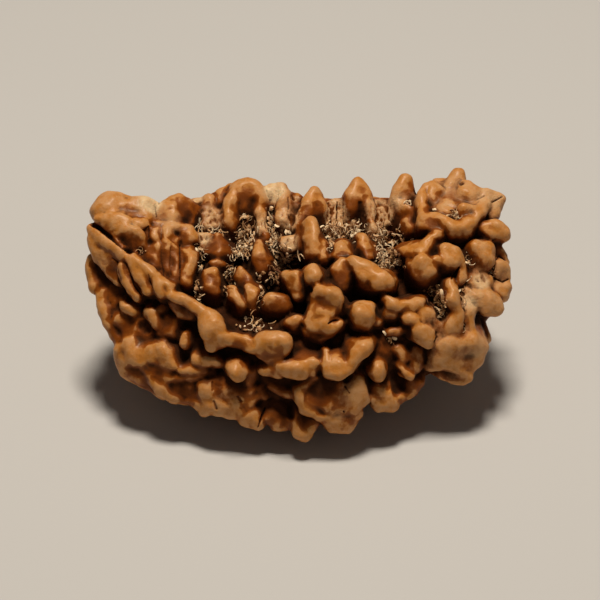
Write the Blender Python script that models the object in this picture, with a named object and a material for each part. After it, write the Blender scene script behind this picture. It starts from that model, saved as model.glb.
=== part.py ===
"""A half-moon rudraksha bead, the dried stone of a fruit, as one solid that rests on a small flat spot.

The bead is described in its own face frame, in millimetres: across (along the straight edge), up (up the
face) and out (away from the face). The bead lies on its back, so its face leans, and the finished mesh is
turned that way, cut flat where it rests, and scaled to metres.
"""

import math
import random

import bmesh
import bpy
from mathutils import Matrix, Vector, geometry
from mathutils.kdtree import KDTree

# Driving dimensions, in millimetres and degrees
FACE_LEAN = 55.0
GROUND = -8.0
SEAT_BALLS = ((-1.9, 1.3, 1.0, 1.25), (2.2, 1.3, 1.0, 1.25), (-1.9, 3.1, 1.0, 1.25), (2.2, 3.1, 1.0, 1.25))
METRES = 0.001

# How the lumps are fused into one skin, in millimetres
KNOB_GROWTH = 0.12
VOXEL = 0.3
CORE_VOXEL = 0.5
SMOOTH_ROUNDS = 2
SMOOTH_FACTOR = 0.5
FACETS = 8000
ROUNDNESS = 2

# Every knob has a root, sunk by this much towards the nearest of the body's middle lines
ROOT_DEPTH = 1.6
ROOT_SPREAD = 0.36
LIP_SPREAD = 0.05
MIDDLE_LINES = (
    ((-9.5, 1.5, -3.2), (-6.0, -1.2, -3.0)),
    ((-6.0, -1.2, -3.0), (0.0, -2.4, -3.2)),
    ((0.0, -2.4, -3.2), (6.0, -1.2, -3.2)),
    ((6.0, -1.2, -3.2), (9.5, 1.5, -3.2)),
    ((-9.5, 3.0, -4.0), (9.5, 3.0, -4.0)),
    ((-6.5, 0.6, -3.6), (6.5, 0.6, -3.6)),
)

# The ridges of the back and the underside
HIDDEN_SEED = 7
HIDDEN_TURN = 0.1
HIDDEN_CLEAR = 1.5
HIDDEN_TOP = 5.5
HIDDEN_INSET = 1.3
HIDDEN_NEAR = 1.5
HIDDEN_SPACING = 1.5
HIDDEN_RADIUS = (0.5, 0.8)
HIDDEN_LIFT = 0.15
HIDDEN_REACH = 2.3
HIDDEN_JOIN = 0.6
HIDDEN_WAIST = 0.85

# The outline has a notch beside the apron, where no ridge stands
NOTCH = (8.1, -5.2)
NOTCH_RADIUS = 1.1

# The bead's lumps in its face frame: each is wrapped round balls, and each ball is (across, up, out, radius)
CORE = (
    ((-10.9, 4.3, -2.7, 1.6), (-10.8, 0.4, -2.6, 1.8), (-8.6, 0.6, -3.4, 2.6), (-8.4, 4.2, -3.8, 1.6)),
    ((-10.4, -0.8, -2.2, 1.6), (-8.8, -2.8, -1.9, 2.2), (-5.0, -3.2, -1.9, 3.4), (-7.0, 0.2, -3.2, 2.8)),
    ((-6.2, -2.8, -2.0, 3.2), (-0.5, -3.6, -1.7, 3.9), (-3.0, -0.6, -3.8, 3.2), (-2.0, -2.8, -4.4, 3.2)),
    ((-0.5, -3.6, -1.7, 3.9), (4.2, -3.0, -2.0, 3.5), (3.0, -0.8, -3.6, 3.2), (3.0, -2.4, -4.4, 3.2)),
    ((4.2, -3.0, -2.0, 3.3), (8.4, -1.8, -2.0, 2.5), (7.6, 0.4, -2.8, 2.4), (7.0, -1.6, -4.2, 2.8)),
    ((8.0, -1.4, -2.2, 2.7), (10.6, 0.2, -2.3, 1.9), (10.6, 4.4, -2.9, 1.8), (8.6, 1.4, -3.4, 2.4)),
    ((-10.0, 4.4, -3.9, 1.5), (-3.0, 4.6, -4.5, 1.6), (-3.0, -0.8, -4.9, 2.4), (-9.0, 0.2, -4.2, 2.1)),
    ((-3.0, 4.6, -4.5, 1.6), (4.0, 4.8, -4.7, 1.7), (4.0, -0.8, -5.0, 2.4), (-3.0, -0.8, -4.9, 2.4)),
    ((4.0, 4.8, -4.7, 1.7), (9.8, 4.8, -4.4, 1.9), (9.2, 0.4, -4.5, 2.2), (4.0, -0.8, -5.0, 2.4)),
)
LEFT_END = (
    (
        (-12.45, 5.6, -0.95, 0.6), (-12.05, 6.25, -1.25, 0.55), (-11.0, 5.95, -1.0, 0.45),
        (-11.9, 5.4, -0.85, 0.4),
    ),
    ((-12.2, 5.75, -0.75, 0.36), (-11.8, 6.2, -0.95, 0.36), (-11.5, 5.7, -0.75, 0.3)),
    (
        (-11.2, 6.0, -1.15, 0.45), (-9.8, 5.95, -1.15, 0.48), (-9.55, 5.2, -0.85, 0.4),
        (-10.8, 5.2, -0.8, 0.4),
    ),
    ((-10.6, 5.9, -0.9, 0.36), (-9.9, 5.7, -0.9, 0.36), (-10.4, 5.5, -0.75, 0.3)),
    (
        (-12.6, 5.05, -0.35, 0.16), (-11.2, 5.15, -0.1, 0.22), (-10.75, 4.95, 0.0, 0.18),
        (-11.1, 4.75, 0.1, 0.2),
    ),
    (
        (-12.45, 4.85, -0.35, 0.16), (-11.2, 4.55, 0.15, 0.22), (-10.2, 4.15, 0.3, 0.25),
        (-11.5, 3.95, -0.1, 0.2),
    ),
    ((-10.9, 4.25, 0.2, 0.22), (-10.0, 4.05, 0.25, 0.25), (-9.95, 3.5, 0.15, 0.3), (-10.35, 3.2, 0.1, 0.2)),
    ((-10.25, 4.8, -0.1, 0.28), (-9.8, 4.75, -0.15, 0.32)),
    ((-11.9, 5.5, -0.7, 0.3), (-9.7, 5.5, -0.75, 0.3), (-9.6, 5.0, -0.5, 0.25), (-11.6, 5.0, -0.3, 0.25)),
    (
        (-12.9, 3.8, -0.9, 0.4), (-12.5, 2.7, -0.7, 0.42), (-11.7, 1.9, -0.3, 0.36),
        (-11.3, 1.2, -0.1, 0.25), (-11.4, 2.9, 0.1, 0.3),
    ),
    ((-8.65, 5.6, -1.1, 0.3), (-8.0, 6.2, -1.5, 0.36), (-7.95, 5.1, -0.8, 0.28), (-8.7, 5.0, -0.85, 0.22)),
    ((-7.7, 6.3, -1.7, 0.38), (-7.0, 5.95, -1.9, 0.36), (-7.75, 5.1, -0.9, 0.28), (-6.85, 5.3, -1.6, 0.3)),
    ((-7.1, 6.1, -2.0, 0.36), (-6.7, 5.7, -1.9, 0.3), (-7.0, 4.9, -1.3, 0.28)),
    ((-9.0, 4.75, -0.55, 0.2), (-8.0, 4.6, -0.5, 0.24), (-7.0, 4.45, -0.7, 0.24)),
    ((-9.2, 4.2, -0.3, 0.3), (-9.1, 3.8, -0.15, 0.33), (-8.9, 4.3, -0.35, 0.25)),
    ((-9.6, 3.1, 0.2, 0.18), (-8.95, 3.25, 0.15, 0.24), (-8.95, 2.4, 0.4, 0.3), (-9.0, 2.0, 0.5, 0.22)),
    ((-7.15, 4.3, -0.7, 0.33), (-6.8, 3.8, -0.5, 0.36), (-7.2, 3.5, -0.35, 0.25)),
)
LEFT_RIDGES = (
    (
        (-12.7, 5.7, -1.1, 0.42),
        (-12.1, 6.35, -1.3, 0.44),
        (-11.3, 6.35, -1.3, 0.36),
        (-10.6, 6.15, -1.4, 0.32),
        (-9.9, 6.2, -1.3, 0.33),
        (-9.3, 5.85, -1.2, 0.3),
        (-9.2, 5.3, -1.1, 0.24),
    ),
    (
        (-8.35, 4.4, -0.4, 0.33), (-8.3, 3.8, -0.15, 0.34), (-8.3, 3.2, 0.1, 0.28), (-8.4, 2.5, 0.35, 0.26),
        (-8.25, 1.8, 0.6, 0.24),
    ),
    ((-7.85, 3.7, -0.15, 0.26), (-7.8, 2.8, 0.15, 0.3), (-7.7, 2.0, 0.45, 0.3), (-7.8, 1.3, 0.7, 0.26)),
    ((-7.05, 2.95, 0.1, 0.26), (-6.9, 2.35, 0.35, 0.33), (-7.05, 1.6, 0.6, 0.36), (-7.1, 1.0, 0.8, 0.3)),
    ((-13.0, 4.35, -1.0, 0.34), (-12.4, 3.9, -0.4, 0.4), (-11.7, 3.4, 0.1, 0.4), (-11.1, 2.85, 0.4, 0.34)),
    ((-11.15, 2.0, 0.5, 0.26), (-10.85, 1.4, 0.6, 0.18), (-10.55, 0.7, 0.7, 0.2), (-10.1, 0.1, 0.75, 0.18)),
    ((-10.5, 2.6, 0.75, 0.28), (-10.15, 1.8, 1.0, 0.33), (-9.7, 1.05, 1.15, 0.35), (-9.45, 0.6, 1.2, 0.28)),
    ((-10.4, 2.6, 0.8, 0.3), (-9.7, 2.0, 1.1, 0.3), (-9.1, 1.5, 1.3, 0.28)),
    ((-8.95, 1.4, 1.35, 0.3), (-8.7, 0.95, 1.5, 0.34), (-8.5, 0.4, 1.5, 0.28)),
    ((-8.6, 1.2, 1.4, 0.25), (-8.0, 0.75, 1.6, 0.18)),
)
OUTER_LEFT = (
    (
        (-12.4, 2.2, -1.7, 0.6), (-12.2, 0.6, -1.4, 0.6), (-11.5, -0.6, -1.0, 0.5), (-11.3, 1.6, -1.1, 0.5),
        (-11.0, 0.1, -0.7, 0.42),
    ),
    ((-12.35, 0.5, -0.8, 0.2), (-12.2, 0.4, -0.8, 0.2)),
    (
        (-11.2, -1.2, -0.5, 0.5), (-10.7, -2.0, -0.4, 0.5), (-9.6, -1.2, -0.3, 0.5),
        (-9.2, -2.4, -0.2, 0.6), (-10.3, -0.6, -0.5, 0.42),
    ),
    ((-11.0, -0.45, 0.2, 0.3), (-10.5, -0.65, 0.25, 0.3), (-10.15, -0.85, 0.1, 0.16)),
    ((-8.6, -2.1, 0.5, 0.3), (-7.9, -2.0, 0.8, 0.36), (-7.7, -1.4, 0.9, 0.33), (-8.3, -1.2, 0.6, 0.3)),
    (
        (-10.6, -4.1, -0.5, 0.5), (-9.9, -4.7, -0.3, 0.5), (-8.9, -4.3, 0.1, 0.5), (-8.1, -4.7, 0.4, 0.5),
        (-9.0, -5.2, -0.2, 0.4),
    ),
    ((-7.4, -5.5, 0.2, 0.5), (-6.7, -5.3, 0.6, 0.4), (-6.6, -5.8, 0.5, 0.4)),
    (
        (-11.2, -3.1, -0.4, 0.36), (-10.4, -3.0, 0.1, 0.4), (-10.3, -3.75, 0.1, 0.33),
        (-11.1, -3.6, -0.5, 0.33),
    ),
    ((-10.4, -3.2, 0.1, 0.38), (-9.7, -3.2, 0.3, 0.36), (-9.7, -3.9, 0.3, 0.3), (-10.2, -3.9, 0.15, 0.3)),
    (
        (-9.4, -3.2, 0.45, 0.36), (-8.5, -3.1, 0.8, 0.38), (-7.85, -4.0, 0.95, 0.32),
        (-8.6, -3.9, 0.7, 0.3), (-9.3, -3.6, 0.5, 0.28),
    ),
    ((-9.4, -4.2, 0.1, 0.4), (-8.2, -4.4, 0.55, 0.4), (-8.4, -5.1, 0.3, 0.4), (-9.0, -4.9, 0.1, 0.4)),
    ((-8.2, -5.1, 0.2, 0.4), (-7.0, -5.1, 0.6, 0.36), (-7.0, -5.8, 0.3, 0.36), (-8.0, -5.7, 0.1, 0.36)),
    (
        (-10.9, -3.7, -0.3, 0.4), (-10.0, -4.1, -0.1, 0.4), (-10.2, -4.6, -0.5, 0.36),
        (-10.9, -4.4, -0.7, 0.33),
    ),
)
OUTER_RIDGES = (
    ((-12.9, 2.5, -1.6, 0.38), (-12.95, 1.7, -1.5, 0.4), (-12.85, 0.9, -1.3, 0.4)),
    (
        (-12.4, 0.35, -1.0, 0.36), (-12.35, -0.4, -0.8, 0.36), (-12.0, -1.2, -0.8, 0.38),
        (-11.7, -1.9, -0.7, 0.34), (-11.3, -2.5, -0.5, 0.34),
    ),
    ((-9.35, -0.75, 0.6, 0.32), (-8.95, -1.3, 0.7, 0.32), (-8.6, -1.65, 0.7, 0.26)),
    ((-8.55, -0.45, 0.7, 0.18), (-8.75, -0.8, 0.7, 0.16)),
    ((-8.75, -1.5, 0.75, 0.16), (-8.4, -1.25, 0.7, 0.16)),
    (
        (-11.3, -3.0, -0.3, 0.32),
        (-10.6, -2.85, 0.1, 0.38),
        (-10.2, -3.4, 0.2, 0.38),
        (-9.7, -3.75, 0.3, 0.28),
        (-9.3, -3.3, 0.5, 0.28),
        (-8.7, -3.0, 0.7, 0.34),
        (-8.2, -3.4, 0.9, 0.38),
        (-7.8, -4.0, 1.0, 0.32),
    ),
    (
        (-11.2, -3.4, -0.6, 0.36),
        (-11.1, -4.0, -0.8, 0.34),
        (-10.7, -4.6, -0.8, 0.28),
        (-10.1, -5.0, -0.7, 0.26),
        (-9.4, -5.35, -0.5, 0.26),
        (-8.9, -5.7, -0.4, 0.28),
        (-8.5, -5.9, -0.3, 0.26),
    ),
    (
        (-9.7, -4.35, 0.2, 0.24), (-9.2, -5.0, 0.25, 0.3), (-8.6, -5.5, 0.25, 0.36),
        (-8.0, -5.9, 0.2, 0.36), (-7.2, -6.1, 0.2, 0.33),
    ),
    (
        (-8.4, -4.9, 0.5, 0.26), (-7.5, -4.85, 0.8, 0.28), (-6.7, -4.75, 1.0, 0.28),
        (-6.0, -4.55, 1.15, 0.24), (-5.4, -4.45, 1.2, 0.16),
    ),
)
RIM = (
    ((-7.8, -0.1, 1.3, 0.3), (-7.3, -0.8, 1.3, 0.3), (-6.6, -0.9, 1.6, 0.3)),
    (
        (-5.85, -0.95, 2.3, 0.33), (-5.3, -1.3, 2.7, 0.44), (-4.95, -1.75, 2.7, 0.34),
        (-5.7, -2.1, 2.6, 0.36),
    ),
    ((-5.75, -2.2, 2.4, 0.26), (-5.5, -2.85, 2.3, 0.3), (-4.9, -2.5, 2.5, 0.33)),
    (
        (-2.4, -2.55, 2.8, 0.36), (-1.6, -2.5, 3.1, 0.38), (-0.95, -2.6, 3.1, 0.42),
        (-1.0, -3.0, 3.0, 0.36), (-2.3, -3.0, 2.8, 0.36),
    ),
    ((-2.3, -3.2, 2.6, 0.34), (-1.8, -3.5, 2.6, 0.33), (-1.2, -3.3, 2.8, 0.3)),
)
RIM_RIDGES = (
    ((-8.0, 0.35, 1.6, 0.24), (-7.3, 0.05, 1.9, 0.3), (-6.6, -0.45, 2.1, 0.28), (-6.05, -0.8, 2.3, 0.26)),
    ((-4.8, -2.3, 2.6, 0.33), (-4.1, -2.5, 2.5, 0.34), (-3.4, -2.6, 2.6, 0.36), (-2.8, -2.9, 2.7, 0.36)),
)
UNDER_RIM = (
    ((-7.05, -2.15, 1.4, 0.22), (-7.15, -2.7, 1.4, 0.28)),
    ((-4.05, -4.4, 2.2, 0.42), (-3.75, -4.5, 2.2, 0.46)),
    ((-3.9, -4.5, 2.25, 0.5), (-4.0, -4.4, 2.2, 0.46)),
    ((-4.5, -5.1, 1.12, 0.5), (-3.3, -5.3, 1.12, 0.5), (-5.7, -5.1, 0.9, 0.42)),
    ((-5.9, -5.5, 1.0, 0.4), (-3.1, -5.5, 1.3, 0.4), (-3.1, -6.4, 1.0, 0.4), (-5.9, -6.4, 0.65, 0.4)),
    ((6.1, -5.1, -0.3, 0.6), (6.0, -4.6, -0.2, 0.5)),
    ((-3.3, -4.6, 1.8, 0.3), (-3.2, -5.1, 1.6, 0.3), (-2.8, -4.3, 1.7, 0.24)),
    ((-2.2, -4.25, 2.2, 0.24), (-1.3, -4.15, 2.6, 0.36), (-1.3, -4.4, 2.5, 0.3)),
    ((-1.1, -4.1, 2.7, 0.36), (0.0, -4.15, 2.9, 0.42), (0.1, -4.5, 2.7, 0.36)),
    ((0.2, -3.95, 2.8, 0.33), (0.8, -3.9, 2.8, 0.3), (0.7, -4.4, 2.6, 0.26)),
    ((2.05, -3.55, 2.6, 0.16), (2.4, -3.55, 2.6, 0.16), (2.1, -4.1, 2.9, 0.24), (2.4, -4.1, 2.9, 0.24)),
    ((1.8, -4.5, 2.8, 0.33), (2.4, -4.6, 2.9, 0.36), (3.0, -4.3, 2.8, 0.36)),
    ((4.7, -4.4, 1.7, 0.42), (4.9, -4.6, 1.6, 0.42)),
    ((4.6, -5.4, 1.1, 0.25), (4.9, -5.7, 1.0, 0.3)),
    ((6.1, -3.1, 0.9, 0.36), (6.4, -3.5, 0.9, 0.3)),
    ((7.2, -3.2, 0.7, 0.3), (7.3, -4.0, 0.5, 0.34), (7.0, -4.3, 0.4, 0.26)),
)
UNDER_RIDGES = (
    ((-6.35, -3.7, 1.4, 0.33), (-5.8, -3.75, 1.6, 0.38), (-5.2, -3.85, 1.7, 0.26), (-4.7, -3.9, 1.7, 0.14)),
    ((-7.3, -4.3, 1.1, 0.25), (-6.6, -4.35, 1.3, 0.25), (-5.9, -4.3, 1.4, 0.2)),
    ((-1.7, -5.35, 1.5, 0.2), (-1.0, -5.6, 1.5, 0.25), (-0.5, -5.8, 1.5, 0.22)),
    ((1.6, -3.15, 2.5, 0.1), (1.6, -3.7, 2.8, 0.17), (1.65, -4.3, 2.9, 0.25)),
    ((3.2, -4.0, 2.8, 0.3), (3.4, -3.4, 2.8, 0.36), (3.9, -2.95, 2.8, 0.36), (4.15, -2.75, 2.7, 0.24)),
    ((6.2, -4.0, 0.8, 0.22), (6.45, -4.45, 0.8, 0.26), (6.85, -4.75, 0.7, 0.22)),
    ((5.4, -2.0, 1.3, 0.18), (6.0, -1.95, 1.4, 0.22), (6.5, -1.85, 1.3, 0.16)),
)
BELLY = (
    ((-6.9, -6.15, 0.4, 0.3), (-6.3, -6.5, 0.6, 0.34)),
    ((-6.0, -6.1, 0.8, 0.3), (-5.6, -6.6, 0.8, 0.38), (-5.9, -6.9, 0.5, 0.3)),
    ((-5.0, -6.1, 1.0, 0.34), (-4.6, -6.6, 0.9, 0.42), (-5.2, -6.8, 0.7, 0.36)),
    ((-4.2, -6.3, 1.1, 0.34), (-3.7, -6.9, 0.9, 0.42), (-4.4, -6.9, 0.8, 0.34)),
    ((-5.5, -5.2, 1.1, 0.18), (-5.6, -5.9, 1.0, 0.26)),
    ((-4.5, -5.4, 1.3, 0.38), (-4.6, -5.0, 1.3, 0.3)),
    ((-3.9, -5.5, 1.3, 0.2), (-3.6, -6.1, 1.2, 0.3)),
    ((-3.3, -6.0, 1.2, 0.3), (-2.7, -5.9, 1.2, 0.3), (-3.3, -6.6, 1.0, 0.34)),
    ((-2.5, -5.5, 1.3, 0.26), (-2.2, -5.9, 1.2, 0.26)),
    ((-3.3, -7.3, 0.8, 0.44), (-2.6, -7.5, 0.7, 0.4), (-2.9, -7.0, 0.9, 0.34)),
    ((-2.0, -7.2, 0.75, 0.38), (-1.4, -7.5, 0.65, 0.42), (-1.8, -6.8, 0.7, 0.34)),
    ((-1.0, -7.8, 0.5, 0.34), (-0.7, -7.4, 0.7, 0.3), (-1.4, -7.8, 0.5, 0.3)),
    ((-0.1, -7.1, 1.1, 0.26), (0.0, -8.2, 0.85, 0.42), (0.25, -8.35, 0.75, 0.4), (0.8, -7.6, 1.0, 0.34)),
    ((0.7, -5.3, 1.9, 0.4), (0.5, -6.3, 1.75, 0.42), (1.7, -6.5, 1.8, 0.42), (2.3, -5.3, 2.0, 0.4)),
    ((-2.2, -6.5, 0.45, 0.5), (-1.0, -6.6, 0.45, 0.5), (-1.2, -7.4, 0.45, 0.4)),
    (
        (1.7, -7.0, 1.4, 0.48), (2.3, -7.7, 1.0, 0.55), (2.7, -7.75, 0.9, 0.55), (3.4, -6.9, 1.1, 0.5),
        (3.0, -6.2, 1.5, 0.42), (2.1, -6.3, 1.6, 0.42),
    ),
    ((2.5, -5.9, 1.9, 0.34), (3.1, -5.5, 1.95, 0.3), (3.6, -4.9, 1.9, 0.2), (3.8, -6.2, 1.3, 0.36)),
    (
        (2.5, -5.9, 1.9, 0.34), (3.1, -5.5, 1.95, 0.3), (2.0, -6.7, 1.7, 0.36), (3.2, -6.7, 1.5, 0.42),
        (3.8, -6.2, 1.3, 0.36),
    ),
    ((4.5, -6.0, 0.9, 0.3), (4.9, -6.45, 0.6, 0.44), (5.7, -6.45, 0.4, 0.44), (5.3, -5.9, 0.7, 0.3)),
    ((6.2, -6.0, 0.2, 0.36), (5.8, -6.2, 0.3, 0.36)),
    ((6.8, -5.2, 0.1, 0.33), (7.3, -5.1, -0.1, 0.36), (7.0, -5.6, -0.1, 0.33)),
)
BELLY_RIDGES = (
    ((-0.1, -5.6, 2.05, 0.26), (0.4, -5.2, 2.25, 0.26), (0.9, -4.85, 2.35, 0.22)),
    (
        (-0.05, -5.7, 2.05, 0.28), (0.0, -6.2, 2.0, 0.28), (0.3, -6.7, 1.85, 0.3), (0.9, -6.9, 1.7, 0.3),
        (1.3, -7.1, 1.6, 0.28),
    ),
    ((6.4, -5.9, 0.1, 0.26), (6.8, -5.85, 0.0, 0.24)),
)
MIDDLE = (
    ((-5.1, 3.9, -1.1, 0.24), (-5.6, 2.9, -0.8, 0.36), (-4.7, 2.9, -0.8, 0.38), (-5.1, 2.9, -0.5, 0.4)),
    ((-5.45, 2.2, -0.1, 0.2), (-5.15, 2.32, -0.1, 0.2), (-4.85, 2.15, -0.1, 0.2)),
    ((-5.85, 1.55, 0.6, 0.22), (-5.3, 1.6, 0.6, 0.25), (-5.7, 0.8, 0.8, 0.33), (-5.25, 0.4, 0.85, 0.3)),
    ((-2.6, 3.5, -0.5, 0.22), (-2.5, 2.8, -0.1, 0.36), (-2.2, 2.2, 0.0, 0.36), (-2.4, 1.7, 0.2, 0.34)),
    ((-3.75, 1.9, 0.35, 0.1), (-3.05, 1.15, 0.55, 0.12), (-3.9, 1.2, 0.3, 0.15), (-3.5, 0.9, 0.45, 0.15)),
    ((-4.2, 0.6, 0.9, 0.25), (-4.05, 0.1, 1.1, 0.36), (-3.7, -0.4, 1.2, 0.34)),
    ((-3.6, 0.1, 0.8, 0.3), (-3.3, -0.5, 0.9, 0.3)),
    ((-3.15, 0.75, 1.2, 0.24), (-2.85, 0.5, 1.2, 0.28), (-3.0, 0.0, 1.2, 0.3), (-2.95, -0.6, 1.2, 0.2)),
    ((-1.7, -0.05, 1.5, 0.4), (-1.2, -0.05, 1.5, 0.36), (-1.9, -0.5, 1.4, 0.36), (-1.0, -0.5, 1.5, 0.36)),
    (
        (-0.8, 1.6, 1.5, 0.16), (-0.2, 1.6, 1.8, 0.2), (-0.5, 1.0, 1.5, 0.3), (-0.1, 0.8, 1.8, 0.3),
        (-0.1, 0.3, 1.7, 0.28),
    ),
    ((0.8, 1.8, 2.2, 0.33), (0.95, 1.45, 2.45, 0.38), (0.75, 1.25, 2.35, 0.3)),
    (
        (1.2, 0.6, 2.65, 0.3), (1.7, 0.4, 2.85, 0.3), (2.35, 0.0, 2.75, 0.3), (2.3, -0.35, 2.5, 0.33),
        (1.6, -0.5, 2.5, 0.3),
    ),
    ((1.2, 0.5, 2.6, 0.3), (1.7, 0.3, 2.8, 0.3), (1.0, -0.2, 2.4, 0.25), (1.6, -0.5, 2.5, 0.3)),
    ((1.0, -0.3, 2.35, 0.25), (1.2, -1.0, 2.3, 0.3), (2.0, -0.8, 2.3, 0.3), (1.7, -0.4, 2.4, 0.3)),
    ((0.55, -1.4, 2.65, 0.22), (1.5, -1.5, 2.9, 0.22), (0.65, -1.75, 2.65, 0.22), (1.6, -1.8, 2.8, 0.22)),
    ((0.4, -1.9, 2.4, 0.25), (1.2, -2.3, 2.3, 0.3), (1.8, -1.95, 2.4, 0.25), (1.2, -1.7, 2.5, 0.25)),
    ((-0.55, -1.5, 2.3, 0.28), (-0.15, -1.25, 2.4, 0.25), (-0.3, -1.7, 2.3, 0.25)),
    ((0.65, 4.85, -0.3, 0.3), (0.75, 4.2, 0.0, 0.38), (0.8, 3.6, 0.3, 0.4)),
    ((0.8, 3.5, 0.3, 0.4), (0.9, 2.9, 0.35, 0.42), (1.0, 2.5, 0.2, 0.4)),
    ((1.9, -1.05, 2.2, 0.4), (1.2, -1.2, 2.3, 0.36)),
    (
        (1.0, -0.4, 2.5, 0.28), (1.9, -0.6, 2.6, 0.3), (0.7, -1.2, 2.6, 0.24), (1.6, -1.35, 2.75, 0.24),
        (1.2, -0.9, 2.75, 0.25),
    ),
    ((1.3, 3.4, 0.2, 0.24), (1.5, 2.6, 0.6, 0.26)),
    ((2.65, 2.4, 1.3, 0.24), (2.3, 1.7, 1.5, 0.33), (2.85, 1.6, 1.5, 0.28), (2.5, 0.9, 1.5, 0.36)),
    ((2.6, 3.15, 0.5, 0.36), (2.3, 2.8, 0.6, 0.3), (2.9, 2.8, 0.6, 0.3)),
    ((3.85, 3.9, -0.4, 0.24), (4.0, 3.2, 0.0, 0.38), (4.3, 2.7, 0.2, 0.33)),
    ((3.2, 2.45, 1.5, 0.22), (4.0, 2.0, 1.7, 0.38), (4.0, 1.4, 1.9, 0.36), (4.6, 1.5, 1.9, 0.36)),
    ((4.6, 1.4, 1.9, 0.36), (5.15, 1.3, 2.0, 0.4), (5.4, 1.15, 2.0, 0.38), (4.8, 0.95, 2.0, 0.34)),
    ((3.9, 1.15, 1.6, 0.3), (4.6, 0.85, 1.7, 0.33), (5.2, 0.95, 1.8, 0.33), (4.4, 1.5, 1.7, 0.3)),
    (
        (3.5, -0.55, 2.3, 0.32), (4.35, -0.4, 2.3, 0.24), (4.35, -1.2, 2.3, 0.24), (3.7, -1.0, 2.5, 0.46),
        (4.1, -1.45, 2.2, 0.3),
    ),
    ((3.7, -0.8, 2.55, 0.5), (4.1, -0.9, 2.55, 0.45)),
    ((4.8, -1.4, 1.9, 0.2), (4.6, -1.2, 2.0, 0.2)),
    ((5.35, -0.8, 1.6, 0.25), (5.75, -0.85, 1.6, 0.25)),
    ((6.7, -1.1, 1.8, 0.33), (7.0, -1.2, 1.8, 0.3)),
    ((7.4, -0.6, 1.4, 0.3), (8.1, -1.0, 1.2, 0.34), (8.5, -1.6, 1.0, 0.33), (7.6, -1.3, 1.4, 0.3)),
)
MIDDLE_RIDGES = (
    ((1.75, -1.75, 2.75, 0.22), (2.15, -1.6, 2.75, 0.2), (2.4, -1.4, 2.7, 0.12)),
    (
        (5.2, 0.05, 1.7, 0.22), (5.6, -0.25, 1.8, 0.27), (6.2, -0.4, 1.8, 0.27), (6.9, -0.35, 1.8, 0.3),
        (7.4, -0.15, 1.6, 0.28),
    ),
)
RIGHT_KNOBS = (
    ((7.3, -1.8, 1.8, 0.34), (7.9, -2.0, 1.7, 0.36), (7.9, -2.6, 1.5, 0.34), (7.3, -2.2, 1.6, 0.3)),
    ((6.55, 2.9, 0.3, 0.24), (7.4, 2.9, 0.8, 0.36), (8.0, 3.4, 0.5, 0.3)),
    ((7.6, 2.3, 1.2, 0.55), (7.2, 1.9, 1.0, 0.52), (7.9, 1.9, 1.2, 0.52), (7.6, 1.6, 1.1, 0.44)),
    ((6.9, 2.3, 0.7, 0.2), (6.7, 1.7, 0.5, 0.18)),
    ((8.4, 2.4, 1.1, 0.28), (8.8, 2.3, 1.0, 0.28)),
    (
        (9.1, 3.1, 0.7, 0.36), (9.6, 3.0, 0.6, 0.34), (9.6, 2.4, 0.8, 0.36), (9.1, 2.3, 1.0, 0.36),
        (8.9, 2.0, 0.9, 0.25),
    ),
    ((8.6, -2.2, 0.9, 0.3), (8.8, -1.9, 0.9, 0.2)),
    (
        (9.65, -0.7, 1.3, 0.2), (9.8, -1.3, 1.3, 0.22), (9.45, -1.4, 1.2, 0.34), (9.7, -2.0, 1.0, 0.32),
        (9.2, -1.9, 1.0, 0.34),
    ),
    (
        (8.5, -2.9, 0.8, 0.5), (9.4, -2.7, 0.9, 0.6), (10.6, -2.6, 0.5, 0.6), (11.15, -2.8, 0.0, 0.55),
        (11.0, -3.7, -0.1, 0.42),
    ),
    (
        (8.5, -2.9, 0.8, 0.5), (9.4, -2.7, 0.9, 0.6), (11.0, -3.7, -0.1, 0.42), (10.3, -4.5, -0.1, 0.36),
        (9.3, -3.9, 0.5, 0.42), (8.5, -3.8, 0.6, 0.38),
    ),
    (
        (10.4, 0.45, 0.3, 0.3), (10.9, 0.2, 0.45, 0.36), (11.7, 0.0, 0.35, 0.38),
        (12.25, -0.55, -0.05, 0.44), (11.6, -0.6, 0.25, 0.36),
    ),
    (
        (10.35, 0.5, 0.4, 0.24), (10.35, -1.1, 0.6, 0.24), (10.45, -1.7, 0.5, 0.22),
        (10.65, -0.6, 0.6, 0.28), (10.6, -1.5, 0.5, 0.26),
    ),
    ((10.9, 1.5, -0.4, 0.4), (10.5, 1.0, 0.0, 0.33), (11.6, 1.2, -0.5, 0.4), (11.3, 0.7, -0.1, 0.33)),
    ((10.6, 1.9, -0.5, 0.33), (11.2, 1.6, -0.7, 0.33), (11.8, 1.0, -0.8, 0.3)),
    ((11.6, -2.4, -0.9, 0.25), (11.4, -1.8, -1.2, 0.3)),
    ((12.4, 2.25, -1.1, 0.26), (12.8, 2.0, -1.3, 0.33), (12.4, 1.6, -1.1, 0.25), (12.9, 1.5, -1.3, 0.25)),
    ((12.2, 0.95, -1.0, 0.25), (12.8, 0.8, -1.2, 0.38), (12.65, 0.3, -1.1, 0.36), (12.3, 0.6, -0.9, 0.28)),
    ((11.2, 3.1, -0.5, 0.6), (11.5, 2.6, -0.5, 0.62), (11.6, 3.1, -0.7, 0.55), (11.3, 2.2, -0.6, 0.45)),
    (
        (11.5, 4.5, -0.9, 0.3), (12.2, 4.6, -0.9, 0.36), (12.8, 4.3, -1.0, 0.33), (12.9, 4.0, -1.1, 0.24),
        (12.0, 4.2, -0.9, 0.3),
    ),
)
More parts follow.
